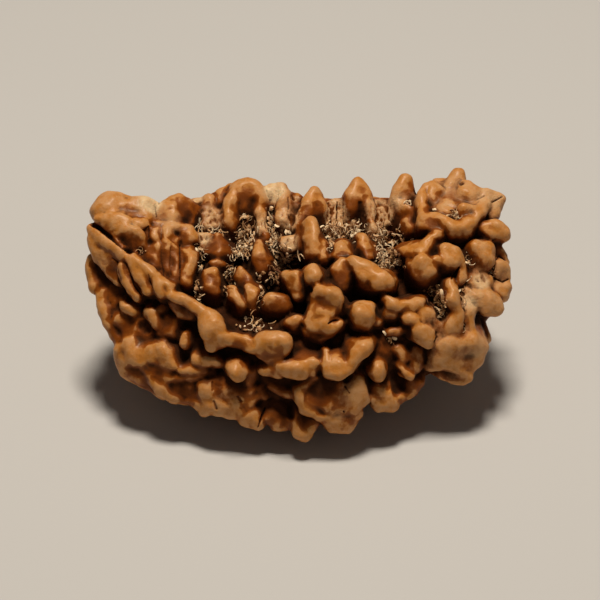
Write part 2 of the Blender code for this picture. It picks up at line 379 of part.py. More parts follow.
RIGHT_RIDGES = (
    ((7.6, 3.0, 0.7, 0.36), (8.1, 3.6, 0.4, 0.3), (8.5, 4.2, 0.1, 0.26)),
    ((9.9, 2.3, 0.6, 0.22), (10.1, 1.8, 0.5, 0.22), (10.1, 1.4, 0.5, 0.24), (9.9, 1.15, 0.5, 0.22)),
    ((9.3, 1.0, 1.2, 0.2), (9.4, 0.5, 1.4, 0.28), (9.5, 0.0, 1.5, 0.3), (9.6, -0.4, 1.4, 0.26)),
    (
        (8.1, -4.1, 0.4, 0.26), (8.6, -4.15, 0.5, 0.2), (9.4, -4.2, 0.5, 0.18), (10.0, -4.5, 0.3, 0.22),
        (10.5, -4.8, 0.0, 0.22),
    ),
    (
        (8.8, -4.65, -0.1, 0.16), (9.5, -4.95, -0.1, 0.16), (10.1, -5.05, -0.1, 0.16),
        (10.5, -4.85, 0.0, 0.2),
    ),
    ((8.9, -4.6, -0.05, 0.22), (10.2, -4.85, -0.05, 0.22)),
    ((12.3, 3.3, -1.5, 0.26), (12.7, 2.9, -1.6, 0.24), (12.95, 2.4, -1.7, 0.22)),
)
RIGHT_TOP = (
    (
        (8.4, 6.6, -2.6, 0.6), (8.9, 5.7, -1.6, 0.5), (10.4, 5.6, -1.4, 0.5), (11.5, 6.1, -2.0, 0.5),
        (10.0, 7.0, -2.8, 0.5),
    ),
    ((8.4, 5.5, -1.4, 0.4), (9.2, 5.1, -1.15, 0.4), (10.3, 5.1, -1.15, 0.4), (11.0, 5.6, -1.5, 0.3)),
    ((10.05, 8.02, -2.8, 0.32), (9.6, 7.4, -2.6, 0.36), (9.2, 6.7, -2.3, 0.3), (10.1, 7.5, -2.7, 0.3)),
    ((8.7, 7.3, -3.0, 0.26), (9.1, 7.4, -3.0, 0.24)),
    ((8.4, 7.1, -2.1, 0.26), (8.35, 6.6, -1.7, 0.33), (8.4, 6.2, -1.5, 0.22), (8.65, 6.8, -1.9, 0.26)),
    ((10.6, 7.1, -2.1, 0.36), (10.2, 6.6, -1.6, 0.33), (11.2, 6.75, -1.9, 0.28), (10.7, 6.4, -1.5, 0.25)),
    ((11.6, 6.6, -2.0, 0.3), (12.2, 6.5, -2.2, 0.26), (11.6, 6.1, -1.7, 0.3)),
    ((12.5, 6.4, -2.2, 0.22), (12.8, 6.3, -2.2, 0.16), (12.4, 6.0, -2.0, 0.22)),
    ((12.2, 5.9, -1.9, 0.24), (12.4, 5.5, -1.8, 0.22), (12.1, 5.4, -1.6, 0.22)),
    (
        (10.35, 5.7, -0.7, 0.24), (10.85, 5.6, -0.75, 0.22), (10.15, 5.35, -0.6, 0.16),
        (10.7, 5.3, -0.6, 0.16),
    ),
    ((8.8, 5.6, -1.0, 0.28), (9.3, 5.35, -0.8, 0.26)),
    ((8.4, 5.0, -0.35, 0.28), (8.6, 4.6, -0.25, 0.28), (7.9, 5.1, -0.55, 0.28), (8.0, 4.6, -0.4, 0.28)),
    ((10.3, 4.4, -0.3, 0.36), (9.6, 4.3, -0.2, 0.36), (9.0, 4.5, -0.4, 0.3), (10.6, 4.6, -0.5, 0.3)),
    ((7.8, 5.1, -0.7, 0.34), (7.9, 4.6, -0.5, 0.34), (8.3, 4.5, -0.3, 0.3)),
    ((9.5, 4.0, -0.5, 0.28), (10.0, 3.95, -0.6, 0.28)),
)
RIGHT_TOP_RIDGES = (
    (
        (11.7, 6.0, -1.4, 0.26),
        (11.3, 5.5, -0.9, 0.3),
        (10.8, 5.0, -0.4, 0.34),
        (10.1, 4.65, -0.1, 0.36),
        (9.5, 4.6, 0.0, 0.34),
        (9.0, 4.85, -0.1, 0.3),
        (8.4, 5.15, -0.4, 0.3),
        (7.9, 5.2, -0.6, 0.33),
    ),
    ((7.95, 7.05, -2.0, 0.24), (7.7, 6.6, -1.7, 0.26), (7.65, 6.0, -1.3, 0.28), (7.8, 5.5, -0.9, 0.3)),
    ((9.3, 7.0, -2.4, 0.3), (9.2, 6.3, -2.0, 0.27)),
)
SPIKES = (
    ((-5.75, 6.25, -2.6, 0.38), (-5.9, 5.7, -2.3, 0.36), (-5.7, 5.2, -2.3, 0.33)),
    ((-4.95, 6.85, -2.9, 0.32), (-5.0, 6.2, -2.6, 0.3), (-5.2, 5.4, -2.5, 0.3)),
    ((-1.9, 7.05, -2.75, 0.26), (-1.2, 7.05, -2.7, 0.26), (-1.7, 6.2, -2.5, 0.12)),
    (
        (-0.9, 6.6, -2.5, 0.3), (-1.1, 5.7, -2.1, 0.33), (-0.9, 4.9, -1.8, 0.36), (-1.2, 4.5, -1.7, 0.25),
        (-0.5, 4.7, -1.8, 0.24),
    ),
    ((-0.2, 6.4, -2.8, 0.22), (0.0, 5.4, -2.5, 0.24)),
    ((-0.15, 6.3, -2.6, 0.24), (-0.4, 5.2, -2.0, 0.2)),
    ((-0.4, 5.2, -2.0, 0.2), (-0.25, 4.35, -1.6, 0.25)),
    ((-1.1, 3.8, -1.0, 0.14), (-0.5, 3.85, -0.9, 0.12), (-0.25, 3.4, -0.7, 0.12), (-0.7, 3.1, -0.7, 0.15)),
    ((-6.4, 4.1, -1.1, 0.14), (-5.75, 4.0, -1.1, 0.12), (-6.15, 3.3, -0.8, 0.12)),
    ((-5.9, 5.6, -2.2, 0.3), (-5.0, 5.4, -2.1, 0.3), (-5.0, 4.6, -1.8, 0.3), (-6.0, 4.7, -1.8, 0.3)),
    (
        (0.9, 6.8, -2.2, 0.28), (0.5, 6.0, -1.8, 0.36), (0.3, 5.2, -1.5, 0.33), (1.3, 6.1, -2.0, 0.3),
        (1.4, 5.6, -1.9, 0.26),
    ),
    ((0.15, 5.4, -1.6, 0.3), (0.1, 4.4, -1.2, 0.33), (0.3, 3.4, -0.6, 0.34)),
    ((1.9, 6.1, -2.9, 0.25), (2.6, 6.1, -2.9, 0.27), (2.6, 4.6, -2.5, 0.36), (1.9, 4.6, -2.4, 0.36)),
    ((-6.7, 5.9, -2.8, 0.4), (-5.3, 6.2, -2.9, 0.4), (-5.3, 5.0, -2.5, 0.4), (-6.7, 4.9, -2.2, 0.4)),
    ((-5.3, 6.4, -3.1, 0.4), (-4.2, 6.9, -3.2, 0.4), (-4.2, 5.2, -2.6, 0.4), (-5.3, 5.0, -2.5, 0.4)),
    ((-3.8, 6.7, -2.5, 0.5), (-3.0, 6.7, -2.5, 0.5), (-3.4, 6.2, -2.4, 0.4)),
    ((-2.2, 6.6, -3.1, 0.4), (-0.2, 6.2, -3.1, 0.4), (0.2, 5.0, -2.7, 0.4), (-2.2, 5.0, -2.7, 0.4)),
    ((4.5, 6.1, -3.0, 0.25), (5.6, 6.0, -3.1, 0.3), (5.4, 4.8, -2.7, 0.33), (4.8, 4.6, -2.5, 0.33)),
    ((3.7, 7.4, -2.8, 0.36), (3.3, 6.5, -2.5, 0.5), (4.05, 6.5, -2.5, 0.42), (3.2, 5.7, -2.2, 0.42)),
    ((4.25, 6.3, -2.3, 0.22), (4.4, 5.4, -2.1, 0.22), (4.6, 4.5, -1.8, 0.2)),
    ((4.9, 6.0, -3.1, 0.3), (5.0, 5.2, -2.8, 0.3)),
    ((6.65, 7.6, -2.9, 0.34), (6.4, 6.9, -2.7, 0.45), (6.0, 6.3, -2.5, 0.38), (6.95, 6.6, -2.7, 0.36)),
    ((6.0, 6.3, -2.4, 0.28), (6.6, 5.8, -2.0, 0.25), (7.2, 5.35, -1.7, 0.18)),
    ((6.8, 4.9, -1.7, 0.33), (7.05, 4.4, -1.5, 0.34)),
)
ARCH = (
    (
        (-4.45, 4.5, -1.6, 0.33),
        (-4.5, 5.2, -1.8, 0.42),
        (-4.35, 6.0, -2.1, 0.42),
        (-4.1, 6.95, -2.5, 0.42),
        (-3.4, 7.1, -2.7, 0.5),
        (-2.75, 6.95, -2.6, 0.44),
        (-2.5, 6.2, -2.3, 0.38),
        (-2.6, 5.4, -2.0, 0.3),
        (-2.5, 4.6, -1.7, 0.26),
        (-2.15, 3.9, -1.4, 0.2),
    ),
)

# The knobs, each one skin, and the ridges, whose balls are joined in pairs
KNOBS = LEFT_END + OUTER_LEFT + UNDER_RIM + BELLY + MIDDLE + RIGHT_KNOBS + RIGHT_TOP + SPIKES
RIDGES = LEFT_RIDGES + OUTER_RIDGES + UNDER_RIDGES + BELLY_RIDGES + MIDDLE_RIDGES + RIGHT_RIDGES
RIDGES += RIGHT_TOP_RIDGES + ARCH


def inwards(ball):
    """The way from a place to the nearest of the body's middle lines."""
    ways = []
    for start, end in MIDDLE_LINES:
        share = geometry.intersect_point_line(ball, start, end)[1]
        ways.append(Vector(start).lerp(Vector(end), min(max(share, 0), 1)) - ball)
    return min(ways, key=lambda way: way.length)


def rooted(balls, spread=ROOT_SPREAD):
    """Adds to each ball a wider one, sunk towards the body's middle, so that a knob has a broad foot."""
    roots = []
    for across, up, out, radius in balls:
        way = inwards(Vector((across, up, out)))
        sunk = Vector((across, up, out)) + way.normalized() * min(ROOT_DEPTH, way.length)
        roots.append((*sunk, radius + spread))
    return (*balls, *roots)


def grown(balls):
    return [(*ball[:3], ball[3] + KNOB_GROWTH) for ball in balls]


def wrap(bm, balls):
    """Adds the skin stretched round some balls."""
    piece = bmesh.new()
    for across, up, out, radius in balls:
        place = Matrix.Translation((across, up, out))
        bmesh.ops.create_icosphere(piece, subdivisions=ROUNDNESS, radius=radius, matrix=place)
    bmesh.ops.delete(piece, geom=piece.edges[:] + piece.faces[:], context="EDGES_FACES")
    bmesh.ops.convex_hull(piece, input=piece.verts[:])
    bmesh.ops.delete(piece, geom=[v for v in piece.verts if not v.link_faces], context="VERTS")
    bmesh.ops.recalc_face_normals(piece, faces=piece.faces[:])
    mesh = bpy.data.meshes.new("piece")
    piece.to_mesh(mesh)
    piece.free()
    bm.from_mesh(mesh)
    bpy.data.meshes.remove(mesh)


def evaluated(bm, *modifiers):
    """Runs modifiers, each (kind, settings), over a bmesh, in place."""
    mesh = bpy.data.meshes.new("holder")
    bm.to_mesh(mesh)
    holder = bpy.data.objects.new("holder", mesh)
    bpy.context.scene.collection.objects.link(holder)
    for kind, settings in modifiers:
        modifier = holder.modifiers.new(kind.lower(), kind)
        for name, value in settings.items():
            setattr(modifier, name, value)
    graph = bpy.context.evaluated_depsgraph_get()
    result = bpy.data.meshes.new_from_object(holder.evaluated_get(graph), depsgraph=graph)
    bm.clear()
    bm.from_mesh(result)
    bpy.data.objects.remove(holder)
    bpy.data.meshes.remove(mesh)
    bpy.data.meshes.remove(result)


def keep_largest(bm):
    """Drops every closed skin but the largest, which fills pockets sealed inside the body."""
    unseen = set(bm.verts)
    largest = set()
    while unseen:
        island = {unseen.pop()}
        edge = set(island)
        while edge:
            edge = {e.other_vert(v) for v in edge for e in v.link_edges} - island
            island |= edge
        unseen -= island
        largest = max(largest, island, key=len)
    bmesh.ops.delete(bm, geom=[v for v in bm.verts if v not in largest], context="VERTS")


def hidden_ridges():
    """Short worm-like ridges for the back and the underside, joined at random."""
    draw = random.Random(HIDDEN_SEED)
    balls = [ball for knob in KNOBS + RIDGES + RIM + RIM_RIDGES for ball in knob]
    outline = [Vector(ball[:2]) for ball in balls]
    shown = KDTree(len(balls))
    for ball in balls:
        shown.insert(ball[:3], 0)
    shown.balance()
    bm = bmesh.new()
    for balls in CORE:
        wrap(bm, balls)
    evaluated(bm, ("REMESH", {"mode": "VOXEL", "voxel_size": CORE_VOXEL}))
    bm.normal_update()
    spots = sorted((tuple(v.co), tuple(v.normal)) for v in bm.verts)
    bm.free()
    draw.shuffle(spots)
    kept = []
    for place, normal in spots:
        if normal[2] > HIDDEN_TURN or place[1] > HIDDEN_TOP or shown.find(place)[2] < HIDDEN_CLEAR:
            continue
        flat = Vector(place[:2])
        if (flat - Vector(NOTCH)).length < NOTCH_RADIUS:
            continue
        beyond = flat + flat.normalized() * HIDDEN_INSET
        covers = [spot for spot in outline if (spot - beyond).length < HIDDEN_NEAR]
        if not any((spot - flat).dot(beyond - flat) > HIDDEN_INSET ** 2 for spot in covers):
            continue
        if all((Vector(place) - other).length > HIDDEN_SPACING for other, _ in kept):
            kept.append((Vector(place) + Vector(normal) * HIDDEN_LIFT, draw.uniform(*HIDDEN_RADIUS)))
    ridges = []
    for index, (place, radius) in enumerate(kept):
        ridges.append(((*place, radius), (*place, radius)))
        near = sorted(kept[index + 1:], key=lambda other: (other[0] - place).length)[:2]
        for other, other_radius in near:
            if (other - place).length < HIDDEN_REACH and draw.random() < HIDDEN_JOIN:
                waist = (*(place + other) / 2, HIDDEN_WAIST * (radius + other_radius) / 2)
                ridges.append(((*place, radius), waist))
                ridges.append((waist, (*other, other_radius)))
    return ridges


def bead_mesh():
    """The whole bead in metres, standing on its flat spot, with its origin below the middle of its box."""
    bm = bmesh.new()
    for balls in CORE:
        wrap(bm, balls)
    for balls in KNOBS:
        wrap(bm, rooted(grown(balls)))
    for balls in RIM:
        wrap(bm, rooted(grown(balls), LIP_SPREAD))
    for balls in (*RIDGES, *hidden_ridges()):
        for pair in zip(balls, balls[1:]):
            wrap(bm, rooted(grown(pair)))
    for balls in RIM_RIDGES:
        for pair in zip(balls, balls[1:]):
            wrap(bm, rooted(grown(pair), LIP_SPREAD))
    bmesh.ops.transform(bm, matrix=Matrix.Rotation(math.radians(FACE_LEAN), 4, "X"), verts=bm.verts[:])
    wrap(bm, [(across, back, GROUND + up, radius) for across, back, up, radius in SEAT_BALLS])
    evaluated(bm, ("REMESH", {"mode": "VOXEL", "voxel_size": VOXEL}))
    keep_largest(bm)
    smooth = {"iterations": SMOOTH_ROUNDS, "factor": SMOOTH_FACTOR}
    share = {"ratio": FACETS / (2 * len(bm.faces))}
    evaluated(bm, ("SMOOTH", smooth), ("DECIMATE", share))
    whole = bm.verts[:] + bm.edges[:] + bm.faces[:]
    flat = {"plane_co": (0, 0, GROUND), "plane_no": (0, 0, -1)}
    cut = bmesh.ops.bisect_plane(bm, geom=whole, clear_outer=True, **flat)
    rim = [e for e in cut["geom_cut"] if isinstance(e, bmesh.types.BMEdge)]
    bmesh.ops.edgeloop_fill(bm, edges=rim)
    keep_largest(bm)
    bmesh.ops.triangulate(bm, faces=bm.faces[:])
    bmesh.ops.recalc_face_normals(bm, faces=bm.faces[:])
    across = [v.co.x for v in bm.verts]
    back = [v.co.y for v in bm.verts]
    middle = ((min(across) + max(across)) / 2, (min(back) + max(back)) / 2, GROUND)
    bmesh.ops.translate(bm, verts=bm.verts[:], vec=-Vector(middle))
    bmesh.ops.scale(bm, verts=bm.verts[:], vec=(METRES,) * 3)
    mesh = bpy.data.meshes.new("rudraksha_bead")
    bm.to_mesh(mesh)
    bm.free()
    return mesh


for thing in list(bpy.data.objects):
    bpy.data.objects.remove(thing)
bead = bpy.data.objects.new("rudraksha_bead", bead_mesh())
bpy.context.scene.collection.objects.link(bead)
shell = bpy.data.materials.new("amber_brown_shell")
shell.use_nodes = True
surface = shell.node_tree.nodes["Principled BSDF"]
surface.inputs["Base Color"].default_value = (0.36, 0.17, 0.06, 1)
surface.inputs["Roughness"].default_value = 0.45
surface.inputs["Metallic"].default_value = 0
bead.data.materials.append(shell)
bead.data.shade_smooth()
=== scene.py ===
"""The looks of a half-moon rudraksha bead: its fine knobbly shell and the dried husk left in its furrow."""

import math
import random

import bmesh
import bpy
import numpy as np
from mathutils import Matrix, Vector, geometry, noise
from mathutils.bvhtree import BVHTree
from mathutils.kdtree import KDTree


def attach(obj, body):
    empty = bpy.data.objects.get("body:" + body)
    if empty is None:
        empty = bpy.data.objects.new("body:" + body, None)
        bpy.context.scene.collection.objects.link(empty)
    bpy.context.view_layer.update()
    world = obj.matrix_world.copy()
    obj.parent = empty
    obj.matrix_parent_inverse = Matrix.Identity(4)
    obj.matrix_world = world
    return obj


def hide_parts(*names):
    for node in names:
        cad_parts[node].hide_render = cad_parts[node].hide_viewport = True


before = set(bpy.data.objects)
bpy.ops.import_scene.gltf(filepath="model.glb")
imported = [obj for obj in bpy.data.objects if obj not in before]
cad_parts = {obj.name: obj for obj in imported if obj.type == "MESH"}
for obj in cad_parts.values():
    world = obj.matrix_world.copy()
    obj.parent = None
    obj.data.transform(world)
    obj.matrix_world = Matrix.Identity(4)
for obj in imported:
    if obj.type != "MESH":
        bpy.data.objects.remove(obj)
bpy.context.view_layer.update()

# The bead
# One dried fruit stone, a half moon that lies on its back, with knobs and ridges grown together over a smooth
# body. All of them are placed in the bead's face frame, in millimetres: across, up the face, and out of it.

METRES = 0.001
FACE_LEAN = 55.0
GROUND = -8.0
SEAT_BALLS = ((-1.9, 1.3, 1.0, 1.25), (2.2, 1.3, 1.0, 1.25), (-1.9, 3.1, 1.0, 1.25), (2.2, 3.1, 1.0, 1.25))
VOXEL = 0.1
CORE_VOXEL = 0.5
FACETS = 190000
ROUNDNESS = 3

# How the knobs are made to look grown rather than cut
KNOB_GROWTH = 0.12
WARP_WAVE = 1.3
WARP = 0.12
WARP_SEED = 5
ROUNDING_ROUNDS = 3
SMOOTHING_STEP = 0.6
HOLLOW_SHARE = 0.1
SWELLINGS = ((0.9, 0.05), (0.35, 0.022))
FLUTES = ((1.1, 0.07), (0.5, 0.03))
DIMPLES = ((1.25, 0.16), (0.6, 0.06))
FLUTE_REACH = 6.0

# Torn places have long grooves with finer ones between them: how much shallower and how much closer those are
FIBRE_WAVE = (0.3, 0.9, 0.4)
TORN_DEPTH = 0.22
FINE_FIBRE_DEPTH = 0.5
FINE_FIBRE_CLOSENESS = 2.3

# Marks are pressed in whatever lies behind them, so their distance outwards counts for little
MARK_REACH = 0.15
MARK_FACING = 3
FINE_MARK = 0.1
FINE_MARGIN = 0.12

# How the shading of the creases is measured
RAYS = 14
RAY_SEED = 3
RAY_SHORTEST = 0.2
RAY_RISE = 1.02
RAY_LIFT = 0.03
RAY_REACH = 2.5
CLOSED_ROUNDS = 2
HOLLOW_ROUNDS = (6, 60)

# A soft spot has its whole amount at its middle and fades out at this many times its radius
SPOT_FADE = 1.6

# Every knob has a root, sunk by this much towards the nearest of the body's middle lines
ROOT_DEPTH = 1.6
ROOT_SPREAD = 0.36
LIP_SPREAD = 0.05
MIDDLE_LINES = (
    ((-9.5, 1.5, -3.2), (-6.0, -1.2, -3.0)),
    ((-6.0, -1.2, -3.0), (0.0, -2.4, -3.2)),
    ((0.0, -2.4, -3.2), (6.0, -1.2, -3.2)),
    ((6.0, -1.2, -3.2), (9.5, 1.5, -3.2)),
    ((-9.5, 3.0, -4.0), (9.5, 3.0, -4.0)),
    ((-6.5, 0.6, -3.6), (6.5, 0.6, -3.6)),
)

# The ridges of the back and the underside
HIDDEN_SEED = 7
HIDDEN_TURN = 0.1
HIDDEN_CLEAR = 1.5
HIDDEN_TOP = 5.5
HIDDEN_INSET = 1.3
HIDDEN_NEAR = 1.5
HIDDEN_SPACING = 1.5
HIDDEN_RADIUS = (0.5, 0.8)
HIDDEN_LIFT = 0.15
HIDDEN_REACH = 2.3
HIDDEN_JOIN = 0.6
HIDDEN_WAIST = 0.85

# The outline has a notch at its lower right, where no ridge stands
NOTCH = (8.1, -5.2)
NOTCH_RADIUS = 1.1

# The bead's lumps in its face frame: each is wrapped round balls, which are (across, up, out, radius)
CORE = (
    ((-10.9, 4.3, -2.7, 1.6), (-10.8, 0.4, -2.6, 1.8), (-8.6, 0.6, -3.4, 2.6), (-8.4, 4.2, -3.8, 1.6)),
    ((-10.4, -0.8, -2.2, 1.6), (-8.8, -2.8, -1.9, 2.2), (-5.0, -3.2, -1.9, 3.4), (-7.0, 0.2, -3.2, 2.8)),
    ((-6.2, -2.8, -2.0, 3.2), (-0.5, -3.6, -1.7, 3.9), (-3.0, -0.6, -3.8, 3.2), (-2.0, -2.8, -4.4, 3.2)),
    ((-0.5, -3.6, -1.7, 3.9), (4.2, -3.0, -2.0, 3.5), (3.0, -0.8, -3.6, 3.2), (3.0, -2.4, -4.4, 3.2)),
    ((4.2, -3.0, -2.0, 3.3), (8.4, -1.8, -2.0, 2.5), (7.6, 0.4, -2.8, 2.4), (7.0, -1.6, -4.2, 2.8)),
    ((8.0, -1.4, -2.2, 2.7), (10.6, 0.2, -2.3, 1.9), (10.6, 4.4, -2.9, 1.8), (8.6, 1.4, -3.4, 2.4)),
    ((-10.0, 4.4, -3.9, 1.5), (-3.0, 4.6, -4.5, 1.6), (-3.0, -0.8, -4.9, 2.4), (-9.0, 0.2, -4.2, 2.1)),
    ((-3.0, 4.6, -4.5, 1.6), (4.0, 4.8, -4.7, 1.7), (4.0, -0.8, -5.0, 2.4), (-3.0, -0.8, -4.9, 2.4)),
    ((4.0, 4.8, -4.7, 1.7), (9.8, 4.8, -4.4, 1.9), (9.2, 0.4, -4.5, 2.2), (4.0, -0.8, -5.0, 2.4)),
)
LEFT_END = (
    (
        (-12.45, 5.6, -0.95, 0.6), (-12.05, 6.25, -1.25, 0.55), (-11.0, 5.95, -1.0, 0.45),
        (-11.9, 5.4, -0.85, 0.4),
    ),
    ((-12.2, 5.75, -0.75, 0.36), (-11.8, 6.2, -0.95, 0.36), (-11.5, 5.7, -0.75, 0.3)),
    (
        (-11.2, 6.0, -1.15, 0.45), (-9.8, 5.95, -1.15, 0.48), (-9.55, 5.2, -0.85, 0.4),
        (-10.8, 5.2, -0.8, 0.4),
    ),
    ((-10.6, 5.9, -0.9, 0.36), (-9.9, 5.7, -0.9, 0.36), (-10.4, 5.5, -0.75, 0.3)),
    (
        (-12.6, 5.05, -0.35, 0.16), (-11.2, 5.15, -0.1, 0.22), (-10.75, 4.95, 0.0, 0.18),
        (-11.1, 4.75, 0.1, 0.2),
    ),
    (
        (-12.45, 4.85, -0.35, 0.16), (-11.2, 4.55, 0.15, 0.22), (-10.2, 4.15, 0.3, 0.25),
        (-11.5, 3.95, -0.1, 0.2),
    ),
    ((-10.9, 4.25, 0.2, 0.22), (-10.0, 4.05, 0.25, 0.25), (-9.95, 3.5, 0.15, 0.3), (-10.35, 3.2, 0.1, 0.2)),
    ((-10.25, 4.8, -0.1, 0.28), (-9.8, 4.75, -0.15, 0.32)),
    ((-11.9, 5.5, -0.7, 0.3), (-9.7, 5.5, -0.75, 0.3), (-9.6, 5.0, -0.5, 0.25), (-11.6, 5.0, -0.3, 0.25)),
    (
        (-12.9, 3.8, -0.9, 0.4), (-12.5, 2.7, -0.7, 0.42), (-11.7, 1.9, -0.3, 0.36),
        (-11.3, 1.2, -0.1, 0.25), (-11.4, 2.9, 0.1, 0.3),
    ),
    ((-8.65, 5.6, -1.1, 0.3), (-8.0, 6.2, -1.5, 0.36), (-7.95, 5.1, -0.8, 0.28), (-8.7, 5.0, -0.85, 0.22)),
    ((-7.7, 6.3, -1.7, 0.38), (-7.0, 5.95, -1.9, 0.36), (-7.75, 5.1, -0.9, 0.28), (-6.85, 5.3, -1.6, 0.3)),
    ((-7.1, 6.1, -2.0, 0.36), (-6.7, 5.7, -1.9, 0.3), (-7.0, 4.9, -1.3, 0.28)),
    ((-9.0, 4.75, -0.55, 0.2), (-8.0, 4.6, -0.5, 0.24), (-7.0, 4.45, -0.7, 0.24)),
    ((-9.2, 4.2, -0.3, 0.3), (-9.1, 3.8, -0.15, 0.33), (-8.9, 4.3, -0.35, 0.25)),
    ((-9.6, 3.1, 0.2, 0.18), (-8.95, 3.25, 0.15, 0.24), (-8.95, 2.4, 0.4, 0.3), (-9.0, 2.0, 0.5, 0.22)),
    ((-7.15, 4.3, -0.7, 0.33), (-6.8, 3.8, -0.5, 0.36), (-7.2, 3.5, -0.35, 0.25)),
)
LEFT_RIDGES = (
    (
        (-12.7, 5.7, -1.1, 0.42), (-12.1, 6.35, -1.3, 0.44), (-11.3, 6.35, -1.3, 0.36),
        (-10.6, 6.15, -1.4, 0.32), (-9.9, 6.2, -1.3, 0.33), (-9.3, 5.85, -1.2, 0.3),
        (-9.2, 5.3, -1.1, 0.24),
    ),
    (
        (-8.35, 4.4, -0.4, 0.33), (-8.3, 3.8, -0.15, 0.34), (-8.3, 3.2, 0.1, 0.28), (-8.4, 2.5, 0.35, 0.26),
        (-8.25, 1.8, 0.6, 0.24),
    ),
    ((-7.85, 3.7, -0.15, 0.26), (-7.8, 2.8, 0.15, 0.3), (-7.7, 2.0, 0.45, 0.3), (-7.8, 1.3, 0.7, 0.26)),
    ((-7.05, 2.95, 0.1, 0.26), (-6.9, 2.35, 0.35, 0.33), (-7.05, 1.6, 0.6, 0.36), (-7.1, 1.0, 0.8, 0.3)),
    ((-13.0, 4.35, -1.0, 0.34), (-12.4, 3.9, -0.4, 0.4), (-11.7, 3.4, 0.1, 0.4), (-11.1, 2.85, 0.4, 0.34)),
    ((-11.15, 2.0, 0.5, 0.26), (-10.85, 1.4, 0.6, 0.18), (-10.55, 0.7, 0.7, 0.2), (-10.1, 0.1, 0.75, 0.18)),
    ((-10.5, 2.6, 0.75, 0.28), (-10.15, 1.8, 1.0, 0.33), (-9.7, 1.05, 1.15, 0.35), (-9.45, 0.6, 1.2, 0.28)),
    ((-10.4, 2.6, 0.8, 0.3), (-9.7, 2.0, 1.1, 0.3), (-9.1, 1.5, 1.3, 0.28)),
    ((-8.95, 1.4, 1.35, 0.3), (-8.7, 0.95, 1.5, 0.34), (-8.5, 0.4, 1.5, 0.28)),
    ((-8.6, 1.2, 1.4, 0.25), (-8.0, 0.75, 1.6, 0.18)),
)
OUTER_LEFT = (
    (
        (-12.4, 2.2, -1.7, 0.6), (-12.2, 0.6, -1.4, 0.6), (-11.5, -0.6, -1.0, 0.5), (-11.3, 1.6, -1.1, 0.5),
        (-11.0, 0.1, -0.7, 0.42),
    ),
    ((-12.35, 0.5, -0.8, 0.2), (-12.2, 0.4, -0.8, 0.2)),
    (
        (-11.2, -1.2, -0.5, 0.5), (-10.7, -2.0, -0.4, 0.5), (-9.6, -1.2, -0.3, 0.5),
        (-9.2, -2.4, -0.2, 0.6), (-10.3, -0.6, -0.5, 0.42),
    ),
    ((-11.0, -0.45, 0.2, 0.3), (-10.5, -0.65, 0.25, 0.3), (-10.15, -0.85, 0.1, 0.16)),
    ((-8.6, -2.1, 0.5, 0.3), (-7.9, -2.0, 0.8, 0.36), (-7.7, -1.4, 0.9, 0.33), (-8.3, -1.2, 0.6, 0.3)),
    (
        (-10.6, -4.1, -0.5, 0.5), (-9.9, -4.7, -0.3, 0.5), (-8.9, -4.3, 0.1, 0.5), (-8.1, -4.7, 0.4, 0.5),
        (-9.0, -5.2, -0.2, 0.4),
    ),
    ((-7.4, -5.5, 0.2, 0.5), (-6.7, -5.3, 0.6, 0.4), (-6.6, -5.8, 0.5, 0.4)),
    (
        (-11.2, -3.1, -0.4, 0.36), (-10.4, -3.0, 0.1, 0.4), (-10.3, -3.75, 0.1, 0.33),
        (-11.1, -3.6, -0.5, 0.33),
    ),
    ((-10.4, -3.2, 0.1, 0.38), (-9.7, -3.2, 0.3, 0.36), (-9.7, -3.9, 0.3, 0.3), (-10.2, -3.9, 0.15, 0.3)),
    (
        (-9.4, -3.2, 0.45, 0.36), (-8.5, -3.1, 0.8, 0.38), (-7.85, -4.0, 0.95, 0.32),
        (-8.6, -3.9, 0.7, 0.3), (-9.3, -3.6, 0.5, 0.28),
    ),
    ((-9.4, -4.2, 0.1, 0.4), (-8.2, -4.4, 0.55, 0.4), (-8.4, -5.1, 0.3, 0.4), (-9.0, -4.9, 0.1, 0.4)),
    ((-8.2, -5.1, 0.2, 0.4), (-7.0, -5.1, 0.6, 0.36), (-7.0, -5.8, 0.3, 0.36), (-8.0, -5.7, 0.1, 0.36)),
    (
        (-10.9, -3.7, -0.3, 0.4), (-10.0, -4.1, -0.1, 0.4), (-10.2, -4.6, -0.5, 0.36),
        (-10.9, -4.4, -0.7, 0.33),
    ),
)
